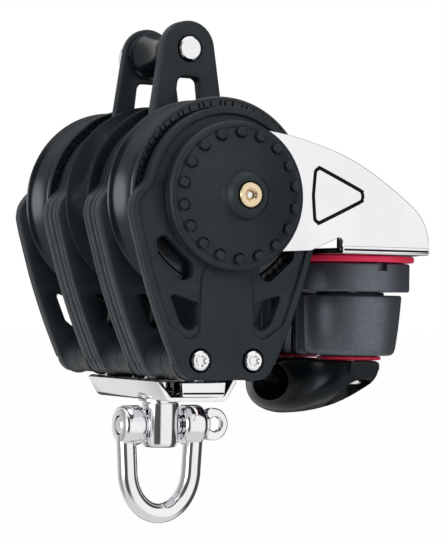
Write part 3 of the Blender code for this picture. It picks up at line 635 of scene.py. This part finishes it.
def build_cover():
    """The cover disc with its ring of sunk pegs, and the adjuster in its middle."""
    low, high = node_box("peg_cover")
    back = high.y
    rim = high.z
    profile = [(rim - 0.3, back), (rim, back - 0.4), (rim, back - 1.5), (rim - 0.15, back - 2.2),
               (rim - 0.6, back - 2.8), (rim - 1.3, back - 3.1), (rim - 1.9, back - 3.1),
               (rim - 2.2, back - 2.9), (rim - 2.5, back - 2.95), (17.0, back - 3.7), (14.0, back - 4.5),
               (10.0, back - 5.7), (7.6, back - 6.3), (7.2, back - 6.35), (7.0, back - 6.6),
               (6.6, back - 8.6), (6.3, back - 9.2), (5.3, low.y), (4.3, low.y), (3.9, low.y + 0.2),
               (3.7, low.y + 0.5), (3.7, back - 7.0), (6.2, back - 5.4), (14.0, back - 3.0),
               (18.6, back - 1.4), (19.2, back)]
    disc = piece("peg_cover_disc", [Shape().turned("Y", profile, 96)], "nylon", ("peg_cover",), crease=28.0)
    top = back - 4.8
    peg = [(0.0, top), (1.05, top), (1.36, top + 0.3), (1.45, back - 2.2), (0.0, back - 2.2)]
    moat = [(0.0, back - 6.0), (1.95, back - 6.0), (1.8, back - 2.9), (0.0, back - 2.9)]
    shapes = []
    for index in range(PEG_COUNT):
        angle = math.radians(90.0 + 360.0 * index / PEG_COUNT)
        centre = (PEG_CIRCLE * math.cos(angle), PEG_CIRCLE * math.sin(angle))
        shapes.append(Shape().turned("Y", peg, 20, centre))
        carve(disc, Shape().turned("Y", moat, 20, centre))
    piece("cover_pegs", shapes, "nylon", body=BODY_OF["peg_cover"])

    low, high = node_box("adjuster_screw")
    tip = low.y
    insert = [(0.0, high.y), (2.5, high.y), (2.5, -52.0), (3.45, -52.0), (3.45, tip + 0.25), (3.2, tip),
              (1.9, tip), (1.3, tip + 0.5), (1.2, tip + 2.6), (0.0, tip + 2.6)]
    piece("adjuster_insert", [Shape().turned("Y", insert, 48)], "brass", ("adjuster_screw",))
    core = [(0.0, tip + 1.0), (0.7, tip + 1.0), (1.15, tip + 1.3), (1.15, tip + 2.8), (0.0, tip + 2.8)]
    piece("adjuster_core", [Shape().turned("Y", core, 24)], "stainless", body="adjuster")


def becket_outline(top_radius):
    """Two arcs and the straight sides that touch both."""
    steps = 28
    base = -node_box("front_becket_plate")[0].z
    lean = math.degrees(math.asin((base - top_radius) / BECKET_Z))
    upper = arc((0.0, BECKET_Z), top_radius, lean, 180.0 - lean, steps)
    lower = arc((0.0, 0.0), base, 180.0 - lean, 360.0 + lean, steps)
    return upper + lower


def build_becket():
    window = rounded([(-3.5, 35.7), (3.5, 35.7), (5.2, 20.6), (-5.2, 20.6)], [2.0, 2.0, 1.6, 1.6], 6)
    for name in ("front_becket_plate", "rear_becket_plate"):
        low, high = node_box(name)
        holes = [window, circle((0.0, BECKET_Z), 3.75, 32), circle((0.0, 0.0), 5.3, 32)]
        back = high.y if low.y < 0.0 else high.y - 2.0
        shape = Shape().slab("Y", becket_outline(high.z - BECKET_Z), low.y, back, holes, edge=0.7, steps=4)
        piece(name + "_moulding", [shape], "nylon", (name,))
    low, high = node_box("becket_thimble")
    steps = 16
    waist = []
    for step in range(steps + 1):
        share = step / steps * 2.0 - 1.0
        waist.append((5.0 + 1.5 * share ** 2.0, share * (high.y - 2.0)))
    end = low.y + 0.1
    flange = [(3.9, end), (6.9, end), (7.2, end + 0.3), (7.2, end + 1.3), (6.1, end + 1.5)]
    spool = Shape().turned("Y", flange + waist + turned_over(flange), 48, (0.0, BECKET_Z))
    piece("thimble_spool", [spool], "sheave_black", ("becket_thimble",))
    low, high = node_box("becket_pin")
    pin = [(0.0, low.y), (3.1, low.y), (3.5, low.y + 0.35), (3.55, low.y + 0.8), (3.55, 16.4), (2.6, 16.5),
           (2.6, high.y - 0.5), (2.2, high.y), (0.0, high.y)]
    piece("becket_pin_bar", [Shape().turned("Y", pin, 40, (0.0, BECKET_Z))], "stainless", ("becket_pin",))
    nut = [(0.0, 24.6), (3.2, 24.6), (4.3, 24.1), (4.7, 23.2), (4.7, 14.6), (4.4, 14.2), (0.0, 14.2)]
    nut_shape = Shape().turned("Y", nut, 40, (0.0, BECKET_Z))
    piece("becket_pin_dome_nut", [nut_shape], "stainless", ("becket_pin_nut",))


# ------------------------ bolts and hanger
def build_bolts():
    for name in ("left", "right"):
        low, high = node_box(f"{name}_through_bolt")
        centre = ((low.x + high.x) / 2.0, (low.z + high.z) / 2.0)
        head = low.y
        bolt = [(0.0, head + 1.3), (0.9, head + 1.25), (1.35, head + 1.0), (1.45, head + 0.25), (1.7, head),
                (2.35, head), (2.75, head + 0.25), (2.95, head + 0.7), (3.0, head + 2.2), (2.2, head + 2.3),
                (2.2, high.y - 0.4), (1.8, high.y), (0.0, high.y)]
        bar = Shape().turned("Y", bolt, 40, centre)
        piece(f"{name}_bolt_bar", [bar], "stainless", (f"{name}_through_bolt",))


def sheet_profile(path, thickness):
    """A folded sheet's closed outline from its outer path."""
    inner = []
    for index, point in enumerate(path):
        before = Vector(path[max(index - 1, 0)])
        after = Vector(path[min(index + 1, len(path) - 1)])
        along = (after - before).normalized()
        inner.append(tuple(Vector(point) + Vector((-along.y, along.x)) * thickness))
    return path + inner[::-1]


TRAY_TOP = -52.9
TRAY_SHEET = 1.4
EAR_Y = 13.7
FLAP_SHEET = 1.4


def painted_shade_line(points, radius, closed=False):
    """A thin flattened bead, half sunk into the face of a sheet; in the near-black steel_shadow look it
    paints the shade of the sheets' fold lines and of the arm's pressed triangle.
    """
    return Shape().tube(points, radius, 8, flat=0.6, closed=closed)


def build_hanger():
    low, high = node_box("hanger")
    bottom = low.z
    fold = 2.6
    left = arc((-8.0, bottom + fold), fold, 212.0, 270.0, 8)
    right = arc((8.0, bottom + fold), fold, 270.0, 328.0, 8)
    path = [(-high.x, TRAY_TOP)] + left + right + [(high.x, TRAY_TOP)]
    shapes = [Shape().slab("Y", sheet_profile(path, TRAY_SHEET), low.y, high.y, edge=0.25)]
    corners = [(-11.2, -42.0), (11.2, -42.0), (11.2, -50.4), (12.2, -53.4), (-12.2, -53.4), (-11.2, -50.4)]
    ear = rounded(corners, [2.0, 2.0, 1.0, 0.4, 0.4, 1.0])
    flap_face = high.y - 0.1
    for side in (-1.0, 1.0):
        middle = side * EAR_Y
        shapes.append(Shape().slab("Y", ear, middle - 0.85, middle + 0.85, bolt_holes(2.45), edge=0.25))
        corners = [(-5.0, -53.0), (9.4, -53.0), (8.9, bottom + 0.9), (-4.6, bottom + 0.9)]
        flap = rounded([(-side * x, z) for x, z in corners], [0.4, 0.4, 0.8, 0.8])
        flap_low, flap_high = sorted((side * (flap_face - FLAP_SHEET), side * flap_face))
        shapes.append(Shape().slab("Y", flap, flap_low, flap_high, edge=0.25))
    made = piece("hanger_tray", shapes, "stainless", ("hanger",))
    carve(made, Shape().turned("Z", [(0.0, -62.0), (3.6, -62.0), (3.6, -54.0), (0.0, -54.0)], 40))
    # A near-black bead across each end flap is painted shade along the flap's bottom fold.
    for name, side in (("front", -1.0), ("rear", 1.0)):
        ends = [(side * x, side * flap_face, bottom + 2.3) for x in (4.5, -8.7)]
        piece(f"{name}_flap_crease_shade", [painted_shade_line(ends, 0.28)], "steel_shadow", body=BODY_OF["hanger"])


# ------------------------ swivel and shackle
PIN_Z = (node_box("shackle_pin")[0].z + node_box("shackle_pin")[1].z) / 2.0
PIN_HOLE = 2.75
ROD_RADIUS = 2.9
BOW_HALF_WIDTH = 10.5
BEND_START = -79.5
EAR_INNER = 6.3
EAR_OUTER = 13.6


def build_swivel():
    low, high = node_box("swivel_post")
    radius = high.x
    post = [(0.0, high.z), (2.9, high.z), (3.3, high.z - 0.4), (3.3, -59.8), (radius - 0.4, -59.8),
            (radius, -60.2), (radius, low.z + 1.5), (radius - 0.4, low.z + 0.5), (radius - 1.4, low.z),
            (0.0, low.z)]
    made = piece("swivel_post_bar", [Shape().turned("Z", post, 56)], "stainless", ("swivel_post",))
    bore = [(0.0, -9.0), (PIN_HOLE, -9.0), (PIN_HOLE, 9.0), (0.0, 9.0)]
    carve(made, Shape().turned("X", bore, 40, (0.0, PIN_Z)))


def build_shackle():
    crown = node_box("shackle_bow")[0].z + ROD_RADIUS
    leg = [(-11.0, PIN_Z - 3.0), (-10.95, -72.0), (-10.7, -76.0)]
    steps = 28
    bend = []
    for step in range(steps + 1):
        turn = math.pi * step / steps
        bend.append((-BOW_HALF_WIDTH * math.cos(turn), BEND_START + (crown - BEND_START) * math.sin(turn)))
    path = [(x, 0.0, z) for x, z in smooth(leg + bend + flipped(leg), 3)]
    shapes = [Shape().tube(path, ROD_RADIUS, 28)]
    for side in (-1.0, 1.0):
        inner = side * EAR_INNER
        outer = side * EAR_OUTER
        ear = [(ROD_RADIUS, inner), (4.7, inner), (5.5, inner + side * 0.5), (5.9, inner + side * 1.3),
               (5.9, outer - side * 1.6), (5.6, outer - side * 0.7), (4.9, outer - side * 0.1), (4.5, outer),
               (ROD_RADIUS, outer)]
        shapes.append(Shape().turned("X", ear, 48, (0.0, PIN_Z)))
    piece("shackle_bow_bar", shapes, "stainless", ("shackle_bow",))

    tip = node_box("shackle_pin")[0].x
    shaft = [(0.0, tip), (1.9, tip), (2.3, tip + 0.3), (2.6, tip + 0.6), (2.6, 13.9), (3.1, 13.9),
             (3.4, 14.2), (3.4, 14.9), (3.1, 15.3), (0.0, 15.3)]
    eye = arc((17.3, PIN_Z), 4.9, -118.0, 118.0, 40)
    shapes = [Shape().turned("X", shaft, 40, (0.0, PIN_Z)),
              Shape().slab("Y", eye, -1.3, 1.3, [circle((18.0, PIN_Z), 2.2, 28)], edge=0.5, steps=3)]
    piece("shackle_pin_bar", shapes, "stainless", ("shackle_pin",))


# ------------------------ cleat arm
ARM_LOW, ARM_HIGH = node_box("cleat_arm")
SHEET = 1.7
DISC_RADIUS = 20.6
PIVOT_HOLE = 6.7
ARM_TOP = [(18.4, 18.0), (26.0, 16.1), (33.7, 13.8), (41.1, 10.7), (48.7, 6.4), (56.3, 1.3), (61.2, -2.6),
           (63.9, -6.4), (65.2, -10.4)]
SHELF_TOP = -13.6
SHELF_NEAR = 36.0
SHELF_FAR = 65.4


def arm_plate_outline():
    disc = arc((0.0, 0.0), DISC_RADIUS, 312.0, 72.0, 60)
    bottom = [(65.2, SHELF_TOP + 0.2), (35.9, SHELF_TOP + 0.2), (35.9, -11.8), (35.4, -10.9), (34.4, -10.7),
              (33.3, -11.4), (25.5, -14.7)]
    return disc + smooth(ARM_TOP, 5) + bottom


def build_arm():
    edge = -ARM_LOW.y
    outline = arm_plate_outline()
    pivot = circle((0.0, 0.0), PIVOT_HOLE, 40)
    shapes = []
    for side in (-1.0, 1.0):
        low, high = sorted((side * (edge - SHEET), side * edge))
        shapes.append(Shape().slab("Y", outline, low, high, [pivot], edge=0.3, steps=3))
    fold = 0.9
    bottom = SHELF_TOP - SHEET
    left = arc((-edge + fold, bottom + fold), fold, 180.0, 270.0, 8)
    right = arc((edge - fold, bottom + fold), fold, 270.0, 360.0, 8)
    path = [(-edge, SHELF_TOP + 0.5)] + left + right + [(edge, SHELF_TOP + 0.5)]
    shapes.append(Shape().slab("X", sheet_profile(path, SHEET), SHELF_NEAR, SHELF_FAR, edge=0.25))
    end = ARM_HIGH.x
    bulge = [(SHELF_FAR - 1.0, -edge + 5.0), (67.5, -edge + 9.0), (end - 1.5, -26.0), (end, -20.0),
             (end, 20.0), (end - 1.5, 26.0), (67.5, edge - 9.0), (SHELF_FAR - 1.0, edge - 5.0)]
    shapes.append(Shape().slab("Z", smooth(bulge, 4), bottom, SHELF_TOP, edge=0.25))
    piece("cleat_arm_sheet", shapes, "stainless", ("cleat_arm",))

    corners = [(26.6, 9.6), (45.2, 1.4), (26.6, -7.4), (25.9, 1.1)]
    ring = smooth(rounded(corners, [1.5, 2.0, 1.5, 3.0], 4), 2, closed=True)
    # Near-black beads round the arm's pressed triangle and along the shelf fold are painted shade of those
    # edges.
    for name, y in (("front", -edge), ("rear", edge)):
        bead = painted_shade_line([(x, y, z) for x, z in ring], 0.55, closed=True)
        ends = [(x, y, SHELF_TOP - 0.55) for x in (SHELF_NEAR + 0.4, SHELF_FAR - 0.5)]
        piece(f"{name}_arm_crease_shade", [bead, painted_shade_line(ends, 0.3)], "steel_shadow", body="cleat_arm")


# ------------------------ cleat
CAM_X = 53.5
CAM_Y = 19.0
CAM_TEETH = 9
FIRST_TOOTH = 70.0
LAST_TOOTH = 172.0
PAD_RADIUS = 19.2
BASE_RADIUS = 17.9


def stadium(radius):
    """Two half circles round the cams' screws and the straight sides between them."""
    return arc((CAM_X, -CAM_Y), radius, 180.0, 360.0, 28) + arc((CAM_X, CAM_Y), radius, 0.0, 180.0, 28)


def cam_outline(side, shrink):
    """Teeth towards the other cam, then a smooth back; side is 1 for the front cam, -1 for the rear one."""
    outline = []
    for index in range(CAM_TEETH):
        for part, cut in ((0.0, 0.0), (0.08, 0.15), (0.62, 1.55), (0.8, 1.6)):
            share = (index + part) / CAM_TEETH
            angle = FIRST_TOOTH + (LAST_TOOTH - FIRST_TOOTH) * share
            reach = 18.7 - 3.9 * max(0.0, (angle - 88.0) / (LAST_TOOTH - 88.0)) - cut
            reach = min(reach, (CAM_Y - 0.2) / max(0.2, math.sin(math.radians(angle))) - cut)
            outline.append((reach - shrink * 0.3, angle))
    steps = 48
    for step in range(steps + 1):
        share = step / steps
        angle = LAST_TOOTH + (360.0 + FIRST_TOOTH - 8.0 - LAST_TOOTH) * share
        outline.append((15.8 - 1.2 * (1.0 - share) ** 2 - shrink, angle))
    points = []
    for reach, angle in outline:
        turn = math.radians(angle)
        points.append((CAM_X + reach * math.cos(turn), side * (reach * math.sin(turn) - CAM_Y)))
    return points


def build_cams():
    for name, side in (("front_cam", 1.0), ("rear_cam", -1.0)):
        low, high = node_box(name)
        shape = Shape()
        rows = [(0.7, high.z), (0.25, high.z - 0.2), (0.0, high.z - 0.7), (0.0, high.z - 5.0),
                (0.1, low.z + 8.0), (0.5, low.z + 2.0), (0.9, low.z + 0.8), (1.6, low.z + 0.2), (2.4, low.z)]
        loops = []
        for shrink, z in rows:
            lean = 0.13 * (high.z - z) / (high.z - low.z)
            ring = [(x - lean * max(0.0, x - CAM_X), y) for x, y in cam_outline(side, shrink)]
            loops.append(shape.loop("Z", ring, z))
        shape.chain(loops)
        centre = (CAM_X, -side * CAM_Y)
        seat = high.z - 6.2
        bore = [shape.loop("Z", circle(centre, radius, 40), z)
                for radius, z in ((7.3, high.z), (7.3, seat), (4.9, seat), (4.9, low.z))]
        shape.chain(bore)
        shape.fan("Z", [loops[0], bore[0]])
        shape.fan("Z", [loops[-1], bore[-1]])
        collar = [(7.4, high.z + 0.85), (10.1, high.z + 0.85), (10.3, high.z + 0.6), (10.3, high.z - 0.5),
                  (7.4, high.z - 0.5)]
        shapes = [shape, Shape().turned("Z", collar, 48, centre)]
        piece(name + "_casting", shapes, "cleat_grey", (name,), crease=40.0)


def build_cleat():
    for node, look, radius, edge in (("cleat_pad", "red", PAD_RADIUS, 0.45),
                                     ("cleat_base", "cleat_grey", BASE_RADIUS, 0.6)):
        low, high = node_box(node)
        holes = [circle((CAM_X, side * CAM_Y), 2.7, 28) for side in (-1.0, 1.0)]
        shape = Shape().slab("Z", stadium(radius), low.z, high.z, holes, edge=edge, steps=3)
        made = piece(node + "_moulding", [shape], look, (node,))
        if node == "cleat_base":
            for side in (-1.0, 1.0):
                wall = side * (CAM_Y + radius)
                corners = ((-1.0, -2.2), (2.2, -2.2), (2.2, 2.2), (-1.0, 2.2))
                slot = [(CAM_X + x, wall + y) for x, y in corners]
                carve(made, Shape().slab("Z", slot, high.z - 2.3, high.z + 1.0))
    for name in ("front_cam_washer", "rear_cam_washer"):
        low, high = node_box(name)
        centre = ((low.x + high.x) / 2.0, (low.y + high.y) / 2.0)
        ring = [(9.3, high.z), (9.6, high.z - 0.3), (9.6, low.z + 0.3), (9.3, low.z), (2.8, low.z),
                (2.8, high.z)]
        piece(name + "_ring", [Shape().turned("Z", ring, 56, centre)], "red", (name,))


FAIRLEAD_HIGH = node_box("fairlead")[1]
FAIRLEAD_X = 53.0
EYE_Z = -53.4
# x, half width and half height of the eye, from the mouth on the sheaves' side to the far one
EYE = [(30.0, 13.0, 7.0), (37.6, 11.4, 5.9), (39.4, 9.8, 5.7), (42.0, 7.6, 5.5), (46.0, 5.9, 5.4),
       (50.0, 5.4, 5.4), (56.0, 5.4, 5.4), (60.0, 6.3, 5.6), (66.0, 9.0, 6.2)]
# radius and height down the walls of the pockets under each cleat screw
SCREW_SEAT = [(0.0, -72.0), (8.0, -72.0), (6.9, -56.0), (6.3, -50.6), (2.7, -50.6), (2.7, -44.0),
              (0.0, -44.0)]
SEAT_MOUTH = [(0.0, -72.0), (6.4, -72.0), (6.0, -56.0), (5.6, -51.9), (0.0, -51.9)]


def fairlead_section(y):
    """Nearest x, farthest x, top and depth of the fairlead at one place across the cleat."""
    share = min(1.0, abs(y) / FAIRLEAD_HIGH.y)
    lobe = math.sqrt(max(0.0, 1.0 - share ** 3.0))
    near = FAIRLEAD_X - 16.4 * max(lobe, 0.30)
    far = FAIRLEAD_X + 11.8 * max(lobe, 0.42)
    dip = 1.3 * math.cos(min(1.0, abs(y) / 13.0) * math.pi / 2.0) ** 2
    depth = 3.4 + 13.0 * (1.0 - share ** 2.0) ** 0.62
    return near, far, FAIRLEAD_HIGH.z - dip, depth


def fairlead_ring(y):
    """The fairlead's outline in x and z at one place across the cleat."""
    near, far, top, depth = fairlead_section(y)
    floor = FAIRLEAD_HIGH.z - depth
    fillet = min(3.6, depth * 0.6)
    lip = 2.2
    ring = [(near + 0.9, top), (near + 0.25, top - 0.25), (near, top - 0.9), (near, floor + fillet)]
    ring += arc((near + fillet, floor + fillet), fillet, 189.0, 262.0, 7)
    steps = 14
    for step in range(steps + 1):
        turn = math.pi / 2.0 * step / steps
        ring.append((near + fillet + (far - near - fillet) * math.sin(turn),
                     top - lip - (top - floor - lip) * math.cos(turn)))
    return ring + [(far, top - 1.0), (far - 0.3, top - 0.3), (far - 1.0, top), ((far + near) / 2.0, top)]


def build_fairlead():
    stations = 56
    shape = Shape()
    loops = []
    for station in range(stations + 1):
        y = -FAIRLEAD_HIGH.y * math.cos(math.pi * station / stations)
        loops.append(shape.loop("Y", fairlead_ring(y), y))
    shape.chain(loops)
    shape.caps(loops)
    made = piece("fairlead_moulding", [shape], "glossy_black", ("fairlead",), crease=50.0)
    cutter = Shape()
    rings = []
    unit = circle((0.0, 0.0), 1.0, 48)
    for x, half_width, half_height in smooth(EYE, 3):
        ring = [(half_width * first, EYE_Z + half_height * second) for first, second in unit]
        rings.append(cutter.loop("X", ring, x))
    cutter.chain(rings)
    cutter.caps(rings)
    carve(made, cutter)
    for side in (-1.0, 1.0):
        carve(made, Shape().turned("Z", SCREW_SEAT, 40, (CAM_X, side * CAM_Y)))
        carve(made, Shape().turned("Z", SEAT_MOUTH, 40, (CAM_X - 1.2, side * (CAM_Y + 4.0))))


# ------------------------ studio and camera
def lamp(name, direction, distance, size, radiance):
    """A soft panel that faces the block from one direction, unseen by the camera itself."""
    data = bpy.data.lights.new(name, "AREA")
    data.shape = "RECTANGLE"
    data.size = size[0]
    data.size_y = size[1]
    data.energy = radiance * math.pi * size[0] * size[1]
    made = bpy.data.objects.new(name, data)
    made.location = ORIGIN + Vector(direction).normalized() * distance
    made.rotation_euler = (ORIGIN - made.location).to_track_quat("-Z", "Y").to_euler()
    made.visible_camera = False
    made.visible_glossy = False
    bpy.context.scene.collection.objects.link(made)


FLOOR_GLOW = 0.975


def build_floor():
    """A pale floor just under the shackle, which stays near white; mirrors see the studio instead."""
    floor_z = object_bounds()[0].z - 0.0004
    half = 4.0
    mesh = bpy.data.meshes.new("floor")
    mesh.from_pydata([(-half, -half, floor_z), (half, -half, floor_z), (half, half, floor_z),
                      (-half, half, floor_z)], [], [(0, 1, 2, 3)])
    floor = bpy.data.objects.new("floor", mesh)
    made = new_material("pale_floor", (0.80, 0.80, 0.80), 0.9)
    tree = made.node_tree
    glow = tree.nodes.new("ShaderNodeEmission")
    clear = tree.nodes.new("ShaderNodeBsdfTransparent")
    path = tree.nodes.new("ShaderNodeLightPath")
    share = tree.nodes.new("ShaderNodeMath")
    share.operation = "MULTIPLY"
    share.inputs[1].default_value = FLOOR_GLOW
    seen = tree.nodes.new("ShaderNodeMixShader")
    mirrored_away = tree.nodes.new("ShaderNodeMixShader")
    tree.links.new(path.outputs["Is Camera Ray"], share.inputs[0])
    tree.links.new(share.outputs["Value"], seen.inputs["Fac"])
    tree.links.new(shader_of(made).outputs["BSDF"], seen.inputs[1])
    tree.links.new(glow.outputs["Emission"], seen.inputs[2])
    tree.links.new(path.outputs["Is Glossy Ray"], mirrored_away.inputs["Fac"])
    tree.links.new(seen.outputs["Shader"], mirrored_away.inputs[1])
    tree.links.new(clear.outputs["BSDF"], mirrored_away.inputs[2])
    tree.links.new(mirrored_away.outputs["Shader"], tree.nodes["Material Output"].inputs["Surface"])
    mesh.materials.append(made)
    bpy.context.scene.collection.objects.link(floor)


# Brightness of the studio round the block, by degrees from the front (-Y) towards the cleat (+X).
STUDIO_BANDS = [(-180.0, 0.80), (-162.0, 0.78), (-148.0, 0.42), (-112.0, 0.30), (-96.0, 0.80), (-72.0, 0.85),
                (-60.0, 0.10), (-27.0, 0.08), (-17.0, 0.96), (50.0, 0.98), (60.0, 0.07), (168.0, 0.08),
                (174.0, 0.78), (180.0, 0.80)]
STUDIO_CEILING = 1.05
STUDIO_BELOW = 0.70
CEILING_FADE = (0.62, 0.85)
BELOW_FADE = (0.45, 0.70)
SOFTBOX = (-1.0, -0.21, 0.06)
SOFTBOX_CORE = 5.0
SOFTBOX_EDGE = 24.0
SOFTBOX_BRIGHTNESS = 3.6


def build_world():
    world = bpy.data.worlds.new("studio")
    bpy.context.scene.world = world
    world.use_nodes = True
    tree = world.node_tree

    def math_node(operation, *values):
        node = tree.nodes.new("ShaderNodeMath")
        node.operation = operation
        for index, value in enumerate(values):
            if isinstance(value, float):
                node.inputs[index].default_value = value
            else:
                tree.links.new(value, node.inputs[index])
        return node.outputs["Value"]

    def fade(value, start, end, low=0.0, high=1.0):
        node = tree.nodes.new("ShaderNodeMapRange")
        node.interpolation_type = "SMOOTHSTEP"
        for socket, number in zip(("From Min", "From Max", "To Min", "To Max"), (start, end, low, high)):
            node.inputs[socket].default_value = number
        tree.links.new(value, node.inputs["Value"])
        return node.outputs["Result"]

    def blend(factor, first, second):
        node = tree.nodes.new("ShaderNodeMix")
        node.data_type = "FLOAT"
        tree.links.new(factor, node.inputs["Factor"])
        tree.links.new(first, node.inputs["A"])
        node.inputs["B"].default_value = second
        return node.outputs["Result"]

    way = tree.nodes.new("ShaderNodeTexCoord")
    split = tree.nodes.new("ShaderNodeSeparateXYZ")
    tree.links.new(way.outputs["Generated"], split.inputs["Vector"])
    forward = math_node("MULTIPLY", split.outputs["Y"], -1.0)
    turn = math_node("ARCTAN2", split.outputs["X"], forward)
    share = math_node("MULTIPLY_ADD", turn, 0.5 / math.pi, 0.5)
    bands = tree.nodes.new("ShaderNodeValToRGB")
    stops = bands.color_ramp.elements
    stops[0].position = 0.0
    stops[1].position = 1.0
    for angle, brightness in STUDIO_BANDS:
        position = (angle + 180.0) / 360.0
        stop = stops[0] if position == 0.0 else stops[-1] if position == 1.0 else stops.new(position)
        stop.color = (brightness, brightness, brightness, 1.0)
    tree.links.new(share, bands.inputs["Fac"])

    above = blend(fade(split.outputs["Z"], *CEILING_FADE), bands.outputs["Color"], STUDIO_CEILING)
    below = math_node("MULTIPLY", split.outputs["Z"], -1.0)
    around = blend(fade(below, *BELOW_FADE), above, STUDIO_BELOW)
    toward = tree.nodes.new("ShaderNodeVectorMath")
    toward.operation = "DOT_PRODUCT"
    toward.inputs[1].default_value = Vector(SOFTBOX).normalized()
    tree.links.new(way.outputs["Generated"], toward.inputs[0])
    softbox = fade(toward.outputs["Value"], math.cos(math.radians(SOFTBOX_EDGE)),
                   math.cos(math.radians(SOFTBOX_CORE)), 0.0, SOFTBOX_BRIGHTNESS)
    total = math_node("ADD", around, softbox)
    path = tree.nodes.new("ShaderNodeLightPath")
    back = tree.nodes["Background"]
    back.inputs["Color"].default_value = (1.0, 1.0, 1.0, 1.0)
    tree.links.new(blend(path.outputs["Is Camera Ray"], total, 1.0), back.inputs["Strength"])


def build_studio():
    bpy.context.scene.view_settings.view_transform = "Standard"
    build_floor()
    build_world()
    lamp("key", (-0.70, -0.55, 0.40), 0.8, (0.22, 0.22), 15.0)


def build_camera():
    """The main view: level, from the front left of the cleat side."""
    yaw = math.radians(27.64)
    pitch = math.radians(0.84)
    roll = math.radians(0.85)
    forward = Vector((math.sin(yaw) * math.cos(pitch), math.cos(yaw) * math.cos(pitch), math.sin(pitch)))
    right = forward.cross(Vector((0.0, 0.0, 1.0))).normalized()
    up = right.cross(forward)
    turned_right = right * math.cos(roll) + up * math.sin(roll)
    turned_up = up * math.cos(roll) - right * math.sin(roll)
    aim = ORIGIN + Vector((20.0, 0.0, -20.1)) * MM
    distance = 0.7006
    data = bpy.data.cameras.new("camera")
    data.sensor_width = 36.0
    data.lens = 154.9
    data.clip_end = 50.0
    camera = bpy.data.objects.new("camera", data)
    rotation = Matrix((turned_right, turned_up, -forward)).transposed()
    camera.matrix_world = Matrix.Translation(aim - forward * distance) @ rotation.to_4x4()
    bpy.context.scene.collection.objects.link(camera)
    bpy.context.scene.camera = camera


dress_frame()
build_cheeks()
build_sheaves()
build_cover()
build_becket()
build_bolts()
build_hanger()
build_swivel()
build_shackle()
build_arm()
build_cams()
build_cleat()
build_fairlead()
build_studio()
build_camera()
